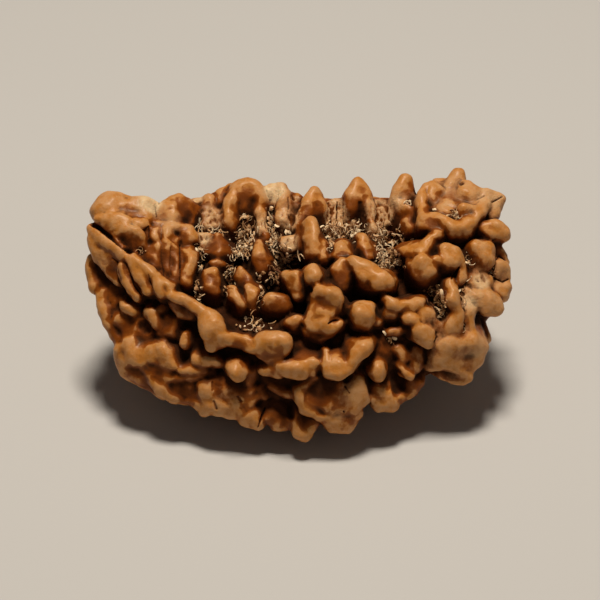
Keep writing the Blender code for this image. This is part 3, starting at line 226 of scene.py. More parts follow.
OUTER_RIDGES = (
    ((-12.9, 2.5, -1.6, 0.38), (-12.95, 1.7, -1.5, 0.4), (-12.85, 0.9, -1.3, 0.4)),
    (
        (-12.4, 0.35, -1.0, 0.36), (-12.35, -0.4, -0.8, 0.36), (-12.0, -1.2, -0.8, 0.38),
        (-11.7, -1.9, -0.7, 0.34), (-11.3, -2.5, -0.5, 0.34),
    ),
    ((-9.35, -0.75, 0.6, 0.32), (-8.95, -1.3, 0.7, 0.32), (-8.6, -1.65, 0.7, 0.26)),
    ((-8.55, -0.45, 0.7, 0.18), (-8.75, -0.8, 0.7, 0.16)),
    ((-8.75, -1.5, 0.75, 0.16), (-8.4, -1.25, 0.7, 0.16)),
    (
        (-11.3, -3.0, -0.3, 0.32), (-10.6, -2.85, 0.1, 0.38), (-10.2, -3.4, 0.2, 0.38),
        (-9.7, -3.75, 0.3, 0.28), (-9.3, -3.3, 0.5, 0.28), (-8.7, -3.0, 0.7, 0.34), (-8.2, -3.4, 0.9, 0.38),
        (-7.8, -4.0, 1.0, 0.32),
    ),
    (
        (-11.2, -3.4, -0.6, 0.36), (-11.1, -4.0, -0.8, 0.34), (-10.7, -4.6, -0.8, 0.28),
        (-10.1, -5.0, -0.7, 0.26), (-9.4, -5.35, -0.5, 0.26), (-8.9, -5.7, -0.4, 0.28),
        (-8.5, -5.9, -0.3, 0.26),
    ),
    (
        (-9.7, -4.35, 0.2, 0.24), (-9.2, -5.0, 0.25, 0.3), (-8.6, -5.5, 0.25, 0.36),
        (-8.0, -5.9, 0.2, 0.36), (-7.2, -6.1, 0.2, 0.33),
    ),
    (
        (-8.4, -4.9, 0.5, 0.26), (-7.5, -4.85, 0.8, 0.28), (-6.7, -4.75, 1.0, 0.28),
        (-6.0, -4.55, 1.15, 0.24), (-5.4, -4.45, 1.2, 0.16),
    ),
)
RIM = (
    ((-7.8, -0.1, 1.3, 0.3), (-7.3, -0.8, 1.3, 0.3), (-6.6, -0.9, 1.6, 0.3)),
    (
        (-5.85, -0.95, 2.3, 0.33), (-5.3, -1.3, 2.7, 0.44), (-4.95, -1.75, 2.7, 0.34),
        (-5.7, -2.1, 2.6, 0.36),
    ),
    ((-5.75, -2.2, 2.4, 0.26), (-5.5, -2.85, 2.3, 0.3), (-4.9, -2.5, 2.5, 0.33)),
    (
        (-2.4, -2.55, 2.8, 0.36), (-1.6, -2.5, 3.1, 0.38), (-0.95, -2.6, 3.1, 0.42),
        (-1.0, -3.0, 3.0, 0.36), (-2.3, -3.0, 2.8, 0.36),
    ),
    ((-2.3, -3.2, 2.6, 0.34), (-1.8, -3.5, 2.6, 0.33), (-1.2, -3.3, 2.8, 0.3)),
)
RIM_RIDGES = (
    ((-8.0, 0.35, 1.6, 0.24), (-7.3, 0.05, 1.9, 0.3), (-6.6, -0.45, 2.1, 0.28), (-6.05, -0.8, 2.3, 0.26)),
    ((-4.8, -2.3, 2.6, 0.33), (-4.1, -2.5, 2.5, 0.34), (-3.4, -2.6, 2.6, 0.36), (-2.8, -2.9, 2.7, 0.36)),
)
UNDER_RIM = (
    ((-7.05, -2.15, 1.4, 0.22), (-7.15, -2.7, 1.4, 0.28)),
    ((-4.05, -4.4, 2.2, 0.42), (-3.75, -4.5, 2.2, 0.46)),
    ((-3.9, -4.5, 2.25, 0.5), (-4.0, -4.4, 2.2, 0.46)),
    ((-4.5, -5.1, 1.12, 0.5), (-3.3, -5.3, 1.12, 0.5), (-5.7, -5.1, 0.9, 0.42)),
    ((-5.9, -5.5, 1.0, 0.4), (-3.1, -5.5, 1.3, 0.4), (-3.1, -6.4, 1.0, 0.4), (-5.9, -6.4, 0.65, 0.4)),
    ((6.1, -5.1, -0.3, 0.6), (6.0, -4.6, -0.2, 0.5)),
    ((-3.3, -4.6, 1.8, 0.3), (-3.2, -5.1, 1.6, 0.3), (-2.8, -4.3, 1.7, 0.24)),
    ((-2.2, -4.25, 2.2, 0.24), (-1.3, -4.15, 2.6, 0.36), (-1.3, -4.4, 2.5, 0.3)),
    ((-1.1, -4.1, 2.7, 0.36), (0.0, -4.15, 2.9, 0.42), (0.1, -4.5, 2.7, 0.36)),
    ((0.2, -3.95, 2.8, 0.33), (0.8, -3.9, 2.8, 0.3), (0.7, -4.4, 2.6, 0.26)),
    ((2.05, -3.55, 2.6, 0.16), (2.4, -3.55, 2.6, 0.16), (2.1, -4.1, 2.9, 0.24), (2.4, -4.1, 2.9, 0.24)),
    ((1.8, -4.5, 2.8, 0.33), (2.4, -4.6, 2.9, 0.36), (3.0, -4.3, 2.8, 0.36)),
    ((4.7, -4.4, 1.7, 0.42), (4.9, -4.6, 1.6, 0.42)),
    ((4.6, -5.4, 1.1, 0.25), (4.9, -5.7, 1.0, 0.3)),
    ((6.1, -3.1, 0.9, 0.36), (6.4, -3.5, 0.9, 0.3)),
    ((7.2, -3.2, 0.7, 0.3), (7.3, -4.0, 0.5, 0.34), (7.0, -4.3, 0.4, 0.26)),
)
UNDER_RIDGES = (
    ((-6.35, -3.7, 1.4, 0.33), (-5.8, -3.75, 1.6, 0.38), (-5.2, -3.85, 1.7, 0.26), (-4.7, -3.9, 1.7, 0.14)),
    ((-7.3, -4.3, 1.1, 0.25), (-6.6, -4.35, 1.3, 0.25), (-5.9, -4.3, 1.4, 0.2)),
    ((-1.7, -5.35, 1.5, 0.2), (-1.0, -5.6, 1.5, 0.25), (-0.5, -5.8, 1.5, 0.22)),
    ((1.6, -3.15, 2.5, 0.1), (1.6, -3.7, 2.8, 0.17), (1.65, -4.3, 2.9, 0.25)),
    ((3.2, -4.0, 2.8, 0.3), (3.4, -3.4, 2.8, 0.36), (3.9, -2.95, 2.8, 0.36), (4.15, -2.75, 2.7, 0.24)),
    ((6.2, -4.0, 0.8, 0.22), (6.45, -4.45, 0.8, 0.26), (6.85, -4.75, 0.7, 0.22)),
    ((5.4, -2.0, 1.3, 0.18), (6.0, -1.95, 1.4, 0.22), (6.5, -1.85, 1.3, 0.16)),
)
BELLY = (
    ((-6.9, -6.15, 0.4, 0.3), (-6.3, -6.5, 0.6, 0.34)),
    ((-6.0, -6.1, 0.8, 0.3), (-5.6, -6.6, 0.8, 0.38), (-5.9, -6.9, 0.5, 0.3)),
    ((-5.0, -6.1, 1.0, 0.34), (-4.6, -6.6, 0.9, 0.42), (-5.2, -6.8, 0.7, 0.36)),
    ((-4.2, -6.3, 1.1, 0.34), (-3.7, -6.9, 0.9, 0.42), (-4.4, -6.9, 0.8, 0.34)),
    ((-5.5, -5.2, 1.1, 0.18), (-5.6, -5.9, 1.0, 0.26)),
    ((-4.5, -5.4, 1.3, 0.38), (-4.6, -5.0, 1.3, 0.3)),
    ((-3.9, -5.5, 1.3, 0.2), (-3.6, -6.1, 1.2, 0.3)),
    ((-3.3, -6.0, 1.2, 0.3), (-2.7, -5.9, 1.2, 0.3), (-3.3, -6.6, 1.0, 0.34)),
    ((-2.5, -5.5, 1.3, 0.26), (-2.2, -5.9, 1.2, 0.26)),
    ((-3.3, -7.3, 0.8, 0.44), (-2.6, -7.5, 0.7, 0.4), (-2.9, -7.0, 0.9, 0.34)),
    ((-2.0, -7.2, 0.75, 0.38), (-1.4, -7.5, 0.65, 0.42), (-1.8, -6.8, 0.7, 0.34)),
    ((-1.0, -7.8, 0.5, 0.34), (-0.7, -7.4, 0.7, 0.3), (-1.4, -7.8, 0.5, 0.3)),
    ((-0.1, -7.1, 1.1, 0.26), (0.0, -8.2, 0.85, 0.42), (0.25, -8.35, 0.75, 0.4), (0.8, -7.6, 1.0, 0.34)),
    ((0.7, -5.3, 1.9, 0.4), (0.5, -6.3, 1.75, 0.42), (1.7, -6.5, 1.8, 0.42), (2.3, -5.3, 2.0, 0.4)),
    ((-2.2, -6.5, 0.45, 0.5), (-1.0, -6.6, 0.45, 0.5), (-1.2, -7.4, 0.45, 0.4)),
    (
        (1.7, -7.0, 1.4, 0.48), (2.3, -7.7, 1.0, 0.55), (2.7, -7.75, 0.9, 0.55), (3.4, -6.9, 1.1, 0.5),
        (3.0, -6.2, 1.5, 0.42), (2.1, -6.3, 1.6, 0.42),
    ),
    ((2.5, -5.9, 1.9, 0.34), (3.1, -5.5, 1.95, 0.3), (3.6, -4.9, 1.9, 0.2), (3.8, -6.2, 1.3, 0.36)),
    (
        (2.5, -5.9, 1.9, 0.34), (3.1, -5.5, 1.95, 0.3), (2.0, -6.7, 1.7, 0.36), (3.2, -6.7, 1.5, 0.42),
        (3.8, -6.2, 1.3, 0.36),
    ),
    ((4.5, -6.0, 0.9, 0.3), (4.9, -6.45, 0.6, 0.44), (5.7, -6.45, 0.4, 0.44), (5.3, -5.9, 0.7, 0.3)),
    ((6.2, -6.0, 0.2, 0.36), (5.8, -6.2, 0.3, 0.36)),
    ((6.8, -5.2, 0.1, 0.33), (7.3, -5.1, -0.1, 0.36), (7.0, -5.6, -0.1, 0.33)),
)
BELLY_RIDGES = (
    ((-0.1, -5.6, 2.05, 0.26), (0.4, -5.2, 2.25, 0.26), (0.9, -4.85, 2.35, 0.22)),
    (
        (-0.05, -5.7, 2.05, 0.28), (0.0, -6.2, 2.0, 0.28), (0.3, -6.7, 1.85, 0.3), (0.9, -6.9, 1.7, 0.3),
        (1.3, -7.1, 1.6, 0.28),
    ),
    ((6.4, -5.9, 0.1, 0.26), (6.8, -5.85, 0.0, 0.24)),
)
MIDDLE = (
    ((-5.1, 3.9, -1.1, 0.24), (-5.6, 2.9, -0.8, 0.36), (-4.7, 2.9, -0.8, 0.38), (-5.1, 2.9, -0.5, 0.4)),
    ((-5.45, 2.2, -0.1, 0.2), (-5.15, 2.32, -0.1, 0.2), (-4.85, 2.15, -0.1, 0.2)),
    ((-5.85, 1.55, 0.6, 0.22), (-5.3, 1.6, 0.6, 0.25), (-5.7, 0.8, 0.8, 0.33), (-5.25, 0.4, 0.85, 0.3)),
    ((-2.6, 3.5, -0.5, 0.22), (-2.5, 2.8, -0.1, 0.36), (-2.2, 2.2, 0.0, 0.36), (-2.4, 1.7, 0.2, 0.34)),
    ((-3.75, 1.9, 0.35, 0.1), (-3.05, 1.15, 0.55, 0.12), (-3.9, 1.2, 0.3, 0.15), (-3.5, 0.9, 0.45, 0.15)),
    ((-4.2, 0.6, 0.9, 0.25), (-4.05, 0.1, 1.1, 0.36), (-3.7, -0.4, 1.2, 0.34)),
    ((-3.6, 0.1, 0.8, 0.3), (-3.3, -0.5, 0.9, 0.3)),
    ((-3.15, 0.75, 1.2, 0.24), (-2.85, 0.5, 1.2, 0.28), (-3.0, 0.0, 1.2, 0.3), (-2.95, -0.6, 1.2, 0.2)),
    ((-1.7, -0.05, 1.5, 0.4), (-1.2, -0.05, 1.5, 0.36), (-1.9, -0.5, 1.4, 0.36), (-1.0, -0.5, 1.5, 0.36)),
    (
        (-0.8, 1.6, 1.5, 0.16), (-0.2, 1.6, 1.8, 0.2), (-0.5, 1.0, 1.5, 0.3), (-0.1, 0.8, 1.8, 0.3),
        (-0.1, 0.3, 1.7, 0.28),
    ),
    ((0.8, 1.8, 2.2, 0.33), (0.95, 1.45, 2.45, 0.38), (0.75, 1.25, 2.35, 0.3)),
    (
        (1.2, 0.6, 2.65, 0.3), (1.7, 0.4, 2.85, 0.3), (2.35, 0.0, 2.75, 0.3), (2.3, -0.35, 2.5, 0.33),
        (1.6, -0.5, 2.5, 0.3),
    ),
    ((1.2, 0.5, 2.6, 0.3), (1.7, 0.3, 2.8, 0.3), (1.0, -0.2, 2.4, 0.25), (1.6, -0.5, 2.5, 0.3)),
    ((1.0, -0.3, 2.35, 0.25), (1.2, -1.0, 2.3, 0.3), (2.0, -0.8, 2.3, 0.3), (1.7, -0.4, 2.4, 0.3)),
    ((0.55, -1.4, 2.65, 0.22), (1.5, -1.5, 2.9, 0.22), (0.65, -1.75, 2.65, 0.22), (1.6, -1.8, 2.8, 0.22)),
    ((0.4, -1.9, 2.4, 0.25), (1.2, -2.3, 2.3, 0.3), (1.8, -1.95, 2.4, 0.25), (1.2, -1.7, 2.5, 0.25)),
    ((-0.55, -1.5, 2.3, 0.28), (-0.15, -1.25, 2.4, 0.25), (-0.3, -1.7, 2.3, 0.25)),
    ((0.65, 4.85, -0.3, 0.3), (0.75, 4.2, 0.0, 0.38), (0.8, 3.6, 0.3, 0.4)),
    ((0.8, 3.5, 0.3, 0.4), (0.9, 2.9, 0.35, 0.42), (1.0, 2.5, 0.2, 0.4)),
    ((1.9, -1.05, 2.2, 0.4), (1.2, -1.2, 2.3, 0.36)),
    (
        (1.0, -0.4, 2.5, 0.28), (1.9, -0.6, 2.6, 0.3), (0.7, -1.2, 2.6, 0.24), (1.6, -1.35, 2.75, 0.24),
        (1.2, -0.9, 2.75, 0.25),
    ),
    ((1.3, 3.4, 0.2, 0.24), (1.5, 2.6, 0.6, 0.26)),
    ((2.65, 2.4, 1.3, 0.24), (2.3, 1.7, 1.5, 0.33), (2.85, 1.6, 1.5, 0.28), (2.5, 0.9, 1.5, 0.36)),
    ((2.6, 3.15, 0.5, 0.36), (2.3, 2.8, 0.6, 0.3), (2.9, 2.8, 0.6, 0.3)),
    ((3.85, 3.9, -0.4, 0.24), (4.0, 3.2, 0.0, 0.38), (4.3, 2.7, 0.2, 0.33)),
    ((3.2, 2.45, 1.5, 0.22), (4.0, 2.0, 1.7, 0.38), (4.0, 1.4, 1.9, 0.36), (4.6, 1.5, 1.9, 0.36)),
    ((4.6, 1.4, 1.9, 0.36), (5.15, 1.3, 2.0, 0.4), (5.4, 1.15, 2.0, 0.38), (4.8, 0.95, 2.0, 0.34)),
    ((3.9, 1.15, 1.6, 0.3), (4.6, 0.85, 1.7, 0.33), (5.2, 0.95, 1.8, 0.33), (4.4, 1.5, 1.7, 0.3)),
    (
        (3.5, -0.55, 2.3, 0.32), (4.35, -0.4, 2.3, 0.24), (4.35, -1.2, 2.3, 0.24), (3.7, -1.0, 2.5, 0.46),
        (4.1, -1.45, 2.2, 0.3),
    ),
    ((3.7, -0.8, 2.55, 0.5), (4.1, -0.9, 2.55, 0.45)),
    ((4.8, -1.4, 1.9, 0.2), (4.6, -1.2, 2.0, 0.2)),
    ((5.35, -0.8, 1.6, 0.25), (5.75, -0.85, 1.6, 0.25)),
    ((6.7, -1.1, 1.8, 0.33), (7.0, -1.2, 1.8, 0.3)),
    ((7.4, -0.6, 1.4, 0.3), (8.1, -1.0, 1.2, 0.34), (8.5, -1.6, 1.0, 0.33), (7.6, -1.3, 1.4, 0.3)),
)
MIDDLE_RIDGES = (
    ((1.75, -1.75, 2.75, 0.22), (2.15, -1.6, 2.75, 0.2), (2.4, -1.4, 2.7, 0.12)),
    (
        (5.2, 0.05, 1.7, 0.22), (5.6, -0.25, 1.8, 0.27), (6.2, -0.4, 1.8, 0.27), (6.9, -0.35, 1.8, 0.3),
        (7.4, -0.15, 1.6, 0.28),
    ),
)
RIGHT_KNOBS = (
    ((7.3, -1.8, 1.8, 0.34), (7.9, -2.0, 1.7, 0.36), (7.9, -2.6, 1.5, 0.34), (7.3, -2.2, 1.6, 0.3)),
    ((6.55, 2.9, 0.3, 0.24), (7.4, 2.9, 0.8, 0.36), (8.0, 3.4, 0.5, 0.3)),
    ((7.6, 2.3, 1.2, 0.55), (7.2, 1.9, 1.0, 0.52), (7.9, 1.9, 1.2, 0.52), (7.6, 1.6, 1.1, 0.44)),
    ((6.9, 2.3, 0.7, 0.2), (6.7, 1.7, 0.5, 0.18)),
    ((8.4, 2.4, 1.1, 0.28), (8.8, 2.3, 1.0, 0.28)),
    (
        (9.1, 3.1, 0.7, 0.36), (9.6, 3.0, 0.6, 0.34), (9.6, 2.4, 0.8, 0.36), (9.1, 2.3, 1.0, 0.36),
        (8.9, 2.0, 0.9, 0.25),
    ),
    ((8.6, -2.2, 0.9, 0.3), (8.8, -1.9, 0.9, 0.2)),
    (
        (9.65, -0.7, 1.3, 0.2), (9.8, -1.3, 1.3, 0.22), (9.45, -1.4, 1.2, 0.34), (9.7, -2.0, 1.0, 0.32),
        (9.2, -1.9, 1.0, 0.34),
    ),
    (
        (8.5, -2.9, 0.8, 0.5), (9.4, -2.7, 0.9, 0.6), (10.6, -2.6, 0.5, 0.6), (11.15, -2.8, 0.0, 0.55),
        (11.0, -3.7, -0.1, 0.42),
    ),
    (
        (8.5, -2.9, 0.8, 0.5), (9.4, -2.7, 0.9, 0.6), (11.0, -3.7, -0.1, 0.42), (10.3, -4.5, -0.1, 0.36),
        (9.3, -3.9, 0.5, 0.42), (8.5, -3.8, 0.6, 0.38),
    ),
    (
        (10.4, 0.45, 0.3, 0.3), (10.9, 0.2, 0.45, 0.36), (11.7, 0.0, 0.35, 0.38),
        (12.25, -0.55, -0.05, 0.44), (11.6, -0.6, 0.25, 0.36),
    ),
    (
        (10.35, 0.5, 0.4, 0.24), (10.35, -1.1, 0.6, 0.24), (10.45, -1.7, 0.5, 0.22),
        (10.65, -0.6, 0.6, 0.28), (10.6, -1.5, 0.5, 0.26),
    ),
    ((10.9, 1.5, -0.4, 0.4), (10.5, 1.0, 0.0, 0.33), (11.6, 1.2, -0.5, 0.4), (11.3, 0.7, -0.1, 0.33)),
    ((10.6, 1.9, -0.5, 0.33), (11.2, 1.6, -0.7, 0.33), (11.8, 1.0, -0.8, 0.3)),
    ((11.6, -2.4, -0.9, 0.25), (11.4, -1.8, -1.2, 0.3)),
    ((12.4, 2.25, -1.1, 0.26), (12.8, 2.0, -1.3, 0.33), (12.4, 1.6, -1.1, 0.25), (12.9, 1.5, -1.3, 0.25)),
    ((12.2, 0.95, -1.0, 0.25), (12.8, 0.8, -1.2, 0.38), (12.65, 0.3, -1.1, 0.36), (12.3, 0.6, -0.9, 0.28)),
    ((11.2, 3.1, -0.5, 0.6), (11.5, 2.6, -0.5, 0.62), (11.6, 3.1, -0.7, 0.55), (11.3, 2.2, -0.6, 0.45)),
    (
        (11.5, 4.5, -0.9, 0.3), (12.2, 4.6, -0.9, 0.36), (12.8, 4.3, -1.0, 0.33), (12.9, 4.0, -1.1, 0.24),
        (12.0, 4.2, -0.9, 0.3),
    ),
)
RIGHT_RIDGES = (
    ((7.6, 3.0, 0.7, 0.36), (8.1, 3.6, 0.4, 0.3), (8.5, 4.2, 0.1, 0.26)),
    ((9.9, 2.3, 0.6, 0.22), (10.1, 1.8, 0.5, 0.22), (10.1, 1.4, 0.5, 0.24), (9.9, 1.15, 0.5, 0.22)),
    ((9.3, 1.0, 1.2, 0.2), (9.4, 0.5, 1.4, 0.28), (9.5, 0.0, 1.5, 0.3), (9.6, -0.4, 1.4, 0.26)),
    (
        (8.1, -4.1, 0.4, 0.26), (8.6, -4.15, 0.5, 0.2), (9.4, -4.2, 0.5, 0.18), (10.0, -4.5, 0.3, 0.22),
        (10.5, -4.8, 0.0, 0.22),
    ),
    (
        (8.8, -4.65, -0.1, 0.16), (9.5, -4.95, -0.1, 0.16), (10.1, -5.05, -0.1, 0.16),
        (10.5, -4.85, 0.0, 0.2),
    ),
    ((8.9, -4.6, -0.05, 0.22), (10.2, -4.85, -0.05, 0.22)),
    ((12.3, 3.3, -1.5, 0.26), (12.7, 2.9, -1.6, 0.24), (12.95, 2.4, -1.7, 0.22)),
)
RIGHT_TOP = (
    (
        (8.4, 6.6, -2.6, 0.6), (8.9, 5.7, -1.6, 0.5), (10.4, 5.6, -1.4, 0.5), (11.5, 6.1, -2.0, 0.5),
        (10.0, 7.0, -2.8, 0.5),
    ),
    ((8.4, 5.5, -1.4, 0.4), (9.2, 5.1, -1.15, 0.4), (10.3, 5.1, -1.15, 0.4), (11.0, 5.6, -1.5, 0.3)),
    ((10.05, 8.02, -2.8, 0.32), (9.6, 7.4, -2.6, 0.36), (9.2, 6.7, -2.3, 0.3), (10.1, 7.5, -2.7, 0.3)),
    ((8.7, 7.3, -3.0, 0.26), (9.1, 7.4, -3.0, 0.24)),
    ((8.4, 7.1, -2.1, 0.26), (8.35, 6.6, -1.7, 0.33), (8.4, 6.2, -1.5, 0.22), (8.65, 6.8, -1.9, 0.26)),
    ((10.6, 7.1, -2.1, 0.36), (10.2, 6.6, -1.6, 0.33), (11.2, 6.75, -1.9, 0.28), (10.7, 6.4, -1.5, 0.25)),
    ((11.6, 6.6, -2.0, 0.3), (12.2, 6.5, -2.2, 0.26), (11.6, 6.1, -1.7, 0.3)),
    ((12.5, 6.4, -2.2, 0.22), (12.8, 6.3, -2.2, 0.16), (12.4, 6.0, -2.0, 0.22)),
    ((12.2, 5.9, -1.9, 0.24), (12.4, 5.5, -1.8, 0.22), (12.1, 5.4, -1.6, 0.22)),
    (
        (10.35, 5.7, -0.7, 0.24), (10.85, 5.6, -0.75, 0.22), (10.15, 5.35, -0.6, 0.16),
        (10.7, 5.3, -0.6, 0.16),
    ),
    ((8.8, 5.6, -1.0, 0.28), (9.3, 5.35, -0.8, 0.26)),
    ((8.4, 5.0, -0.35, 0.28), (8.6, 4.6, -0.25, 0.28), (7.9, 5.1, -0.55, 0.28), (8.0, 4.6, -0.4, 0.28)),
    ((10.3, 4.4, -0.3, 0.36), (9.6, 4.3, -0.2, 0.36), (9.0, 4.5, -0.4, 0.3), (10.6, 4.6, -0.5, 0.3)),
    ((7.8, 5.1, -0.7, 0.34), (7.9, 4.6, -0.5, 0.34), (8.3, 4.5, -0.3, 0.3)),
    ((9.5, 4.0, -0.5, 0.28), (10.0, 3.95, -0.6, 0.28)),
)
RIGHT_TOP_RIDGES = (
    (
        (11.7, 6.0, -1.4, 0.26), (11.3, 5.5, -0.9, 0.3), (10.8, 5.0, -0.4, 0.34), (10.1, 4.65, -0.1, 0.36),
        (9.5, 4.6, 0.0, 0.34), (9.0, 4.85, -0.1, 0.3), (8.4, 5.15, -0.4, 0.3), (7.9, 5.2, -0.6, 0.33),
    ),
    ((7.95, 7.05, -2.0, 0.24), (7.7, 6.6, -1.7, 0.26), (7.65, 6.0, -1.3, 0.28), (7.8, 5.5, -0.9, 0.3)),
    ((9.3, 7.0, -2.4, 0.3), (9.2, 6.3, -2.0, 0.27)),
)
SPIKES = (
    ((-5.75, 6.25, -2.6, 0.38), (-5.9, 5.7, -2.3, 0.36), (-5.7, 5.2, -2.3, 0.33)),
    ((-4.95, 6.85, -2.9, 0.32), (-5.0, 6.2, -2.6, 0.3), (-5.2, 5.4, -2.5, 0.3)),
    ((-1.9, 7.05, -2.75, 0.26), (-1.2, 7.05, -2.7, 0.26), (-1.7, 6.2, -2.5, 0.12)),
    (
        (-0.9, 6.6, -2.5, 0.3), (-1.1, 5.7, -2.1, 0.33), (-0.9, 4.9, -1.8, 0.36), (-1.2, 4.5, -1.7, 0.25),
        (-0.5, 4.7, -1.8, 0.24),
    ),
    ((-0.2, 6.4, -2.8, 0.22), (0.0, 5.4, -2.5, 0.24)),
    ((-0.15, 6.3, -2.6, 0.24), (-0.4, 5.2, -2.0, 0.2)),
    ((-0.4, 5.2, -2.0, 0.2), (-0.25, 4.35, -1.6, 0.25)),
    ((-1.1, 3.8, -1.0, 0.14), (-0.5, 3.85, -0.9, 0.12), (-0.25, 3.4, -0.7, 0.12), (-0.7, 3.1, -0.7, 0.15)),
    ((-6.4, 4.1, -1.1, 0.14), (-5.75, 4.0, -1.1, 0.12), (-6.15, 3.3, -0.8, 0.12)),
    ((-5.9, 5.6, -2.2, 0.3), (-5.0, 5.4, -2.1, 0.3), (-5.0, 4.6, -1.8, 0.3), (-6.0, 4.7, -1.8, 0.3)),
    (
        (0.9, 6.8, -2.2, 0.28), (0.5, 6.0, -1.8, 0.36), (0.3, 5.2, -1.5, 0.33), (1.3, 6.1, -2.0, 0.3),
        (1.4, 5.6, -1.9, 0.26),
    ),
    ((0.15, 5.4, -1.6, 0.3), (0.1, 4.4, -1.2, 0.33), (0.3, 3.4, -0.6, 0.34)),
    ((1.9, 6.1, -2.9, 0.25), (2.6, 6.1, -2.9, 0.27), (2.6, 4.6, -2.5, 0.36), (1.9, 4.6, -2.4, 0.36)),
    ((-6.7, 5.9, -2.8, 0.4), (-5.3, 6.2, -2.9, 0.4), (-5.3, 5.0, -2.5, 0.4), (-6.7, 4.9, -2.2, 0.4)),
    ((-5.3, 6.4, -3.1, 0.4), (-4.2, 6.9, -3.2, 0.4), (-4.2, 5.2, -2.6, 0.4), (-5.3, 5.0, -2.5, 0.4)),
    ((-3.8, 6.7, -2.5, 0.5), (-3.0, 6.7, -2.5, 0.5), (-3.4, 6.2, -2.4, 0.4)),
    ((-2.2, 6.6, -3.1, 0.4), (-0.2, 6.2, -3.1, 0.4), (0.2, 5.0, -2.7, 0.4), (-2.2, 5.0, -2.7, 0.4)),
    ((4.5, 6.1, -3.0, 0.25), (5.6, 6.0, -3.1, 0.3), (5.4, 4.8, -2.7, 0.33), (4.8, 4.6, -2.5, 0.33)),
    ((3.7, 7.4, -2.8, 0.36), (3.3, 6.5, -2.5, 0.5), (4.05, 6.5, -2.5, 0.42), (3.2, 5.7, -2.2, 0.42)),
    ((4.25, 6.3, -2.3, 0.22), (4.4, 5.4, -2.1, 0.22), (4.6, 4.5, -1.8, 0.2)),
    ((4.9, 6.0, -3.1, 0.3), (5.0, 5.2, -2.8, 0.3)),
    ((6.65, 7.6, -2.9, 0.34), (6.4, 6.9, -2.7, 0.45), (6.0, 6.3, -2.5, 0.38), (6.95, 6.6, -2.7, 0.36)),
    ((6.0, 6.3, -2.4, 0.28), (6.6, 5.8, -2.0, 0.25), (7.2, 5.35, -1.7, 0.18)),
    ((6.8, 4.9, -1.7, 0.33), (7.05, 4.4, -1.5, 0.34)),
)
ARCH = (
    (
        (-4.45, 4.5, -1.6, 0.33), (-4.5, 5.2, -1.8, 0.42), (-4.35, 6.0, -2.1, 0.42),
        (-4.1, 6.95, -2.5, 0.42), (-3.4, 7.1, -2.7, 0.5), (-2.75, 6.95, -2.6, 0.44),
        (-2.5, 6.2, -2.3, 0.38), (-2.6, 5.4, -2.0, 0.3), (-2.5, 4.6, -1.7, 0.26), (-2.15, 3.9, -1.4, 0.2),
    ),
)

# The knobs, each one skin, and the ridges, whose balls are joined in pairs
KNOBS = LEFT_END + OUTER_LEFT + UNDER_RIM + BELLY + MIDDLE + RIGHT_KNOBS + RIGHT_TOP + SPIKES
RIDGES = LEFT_RIDGES + OUTER_RIDGES + UNDER_RIDGES + BELLY_RIDGES + MIDDLE_RIDGES + RIGHT_RIDGES
RIDGES += RIGHT_TOP_RIDGES + ARCH

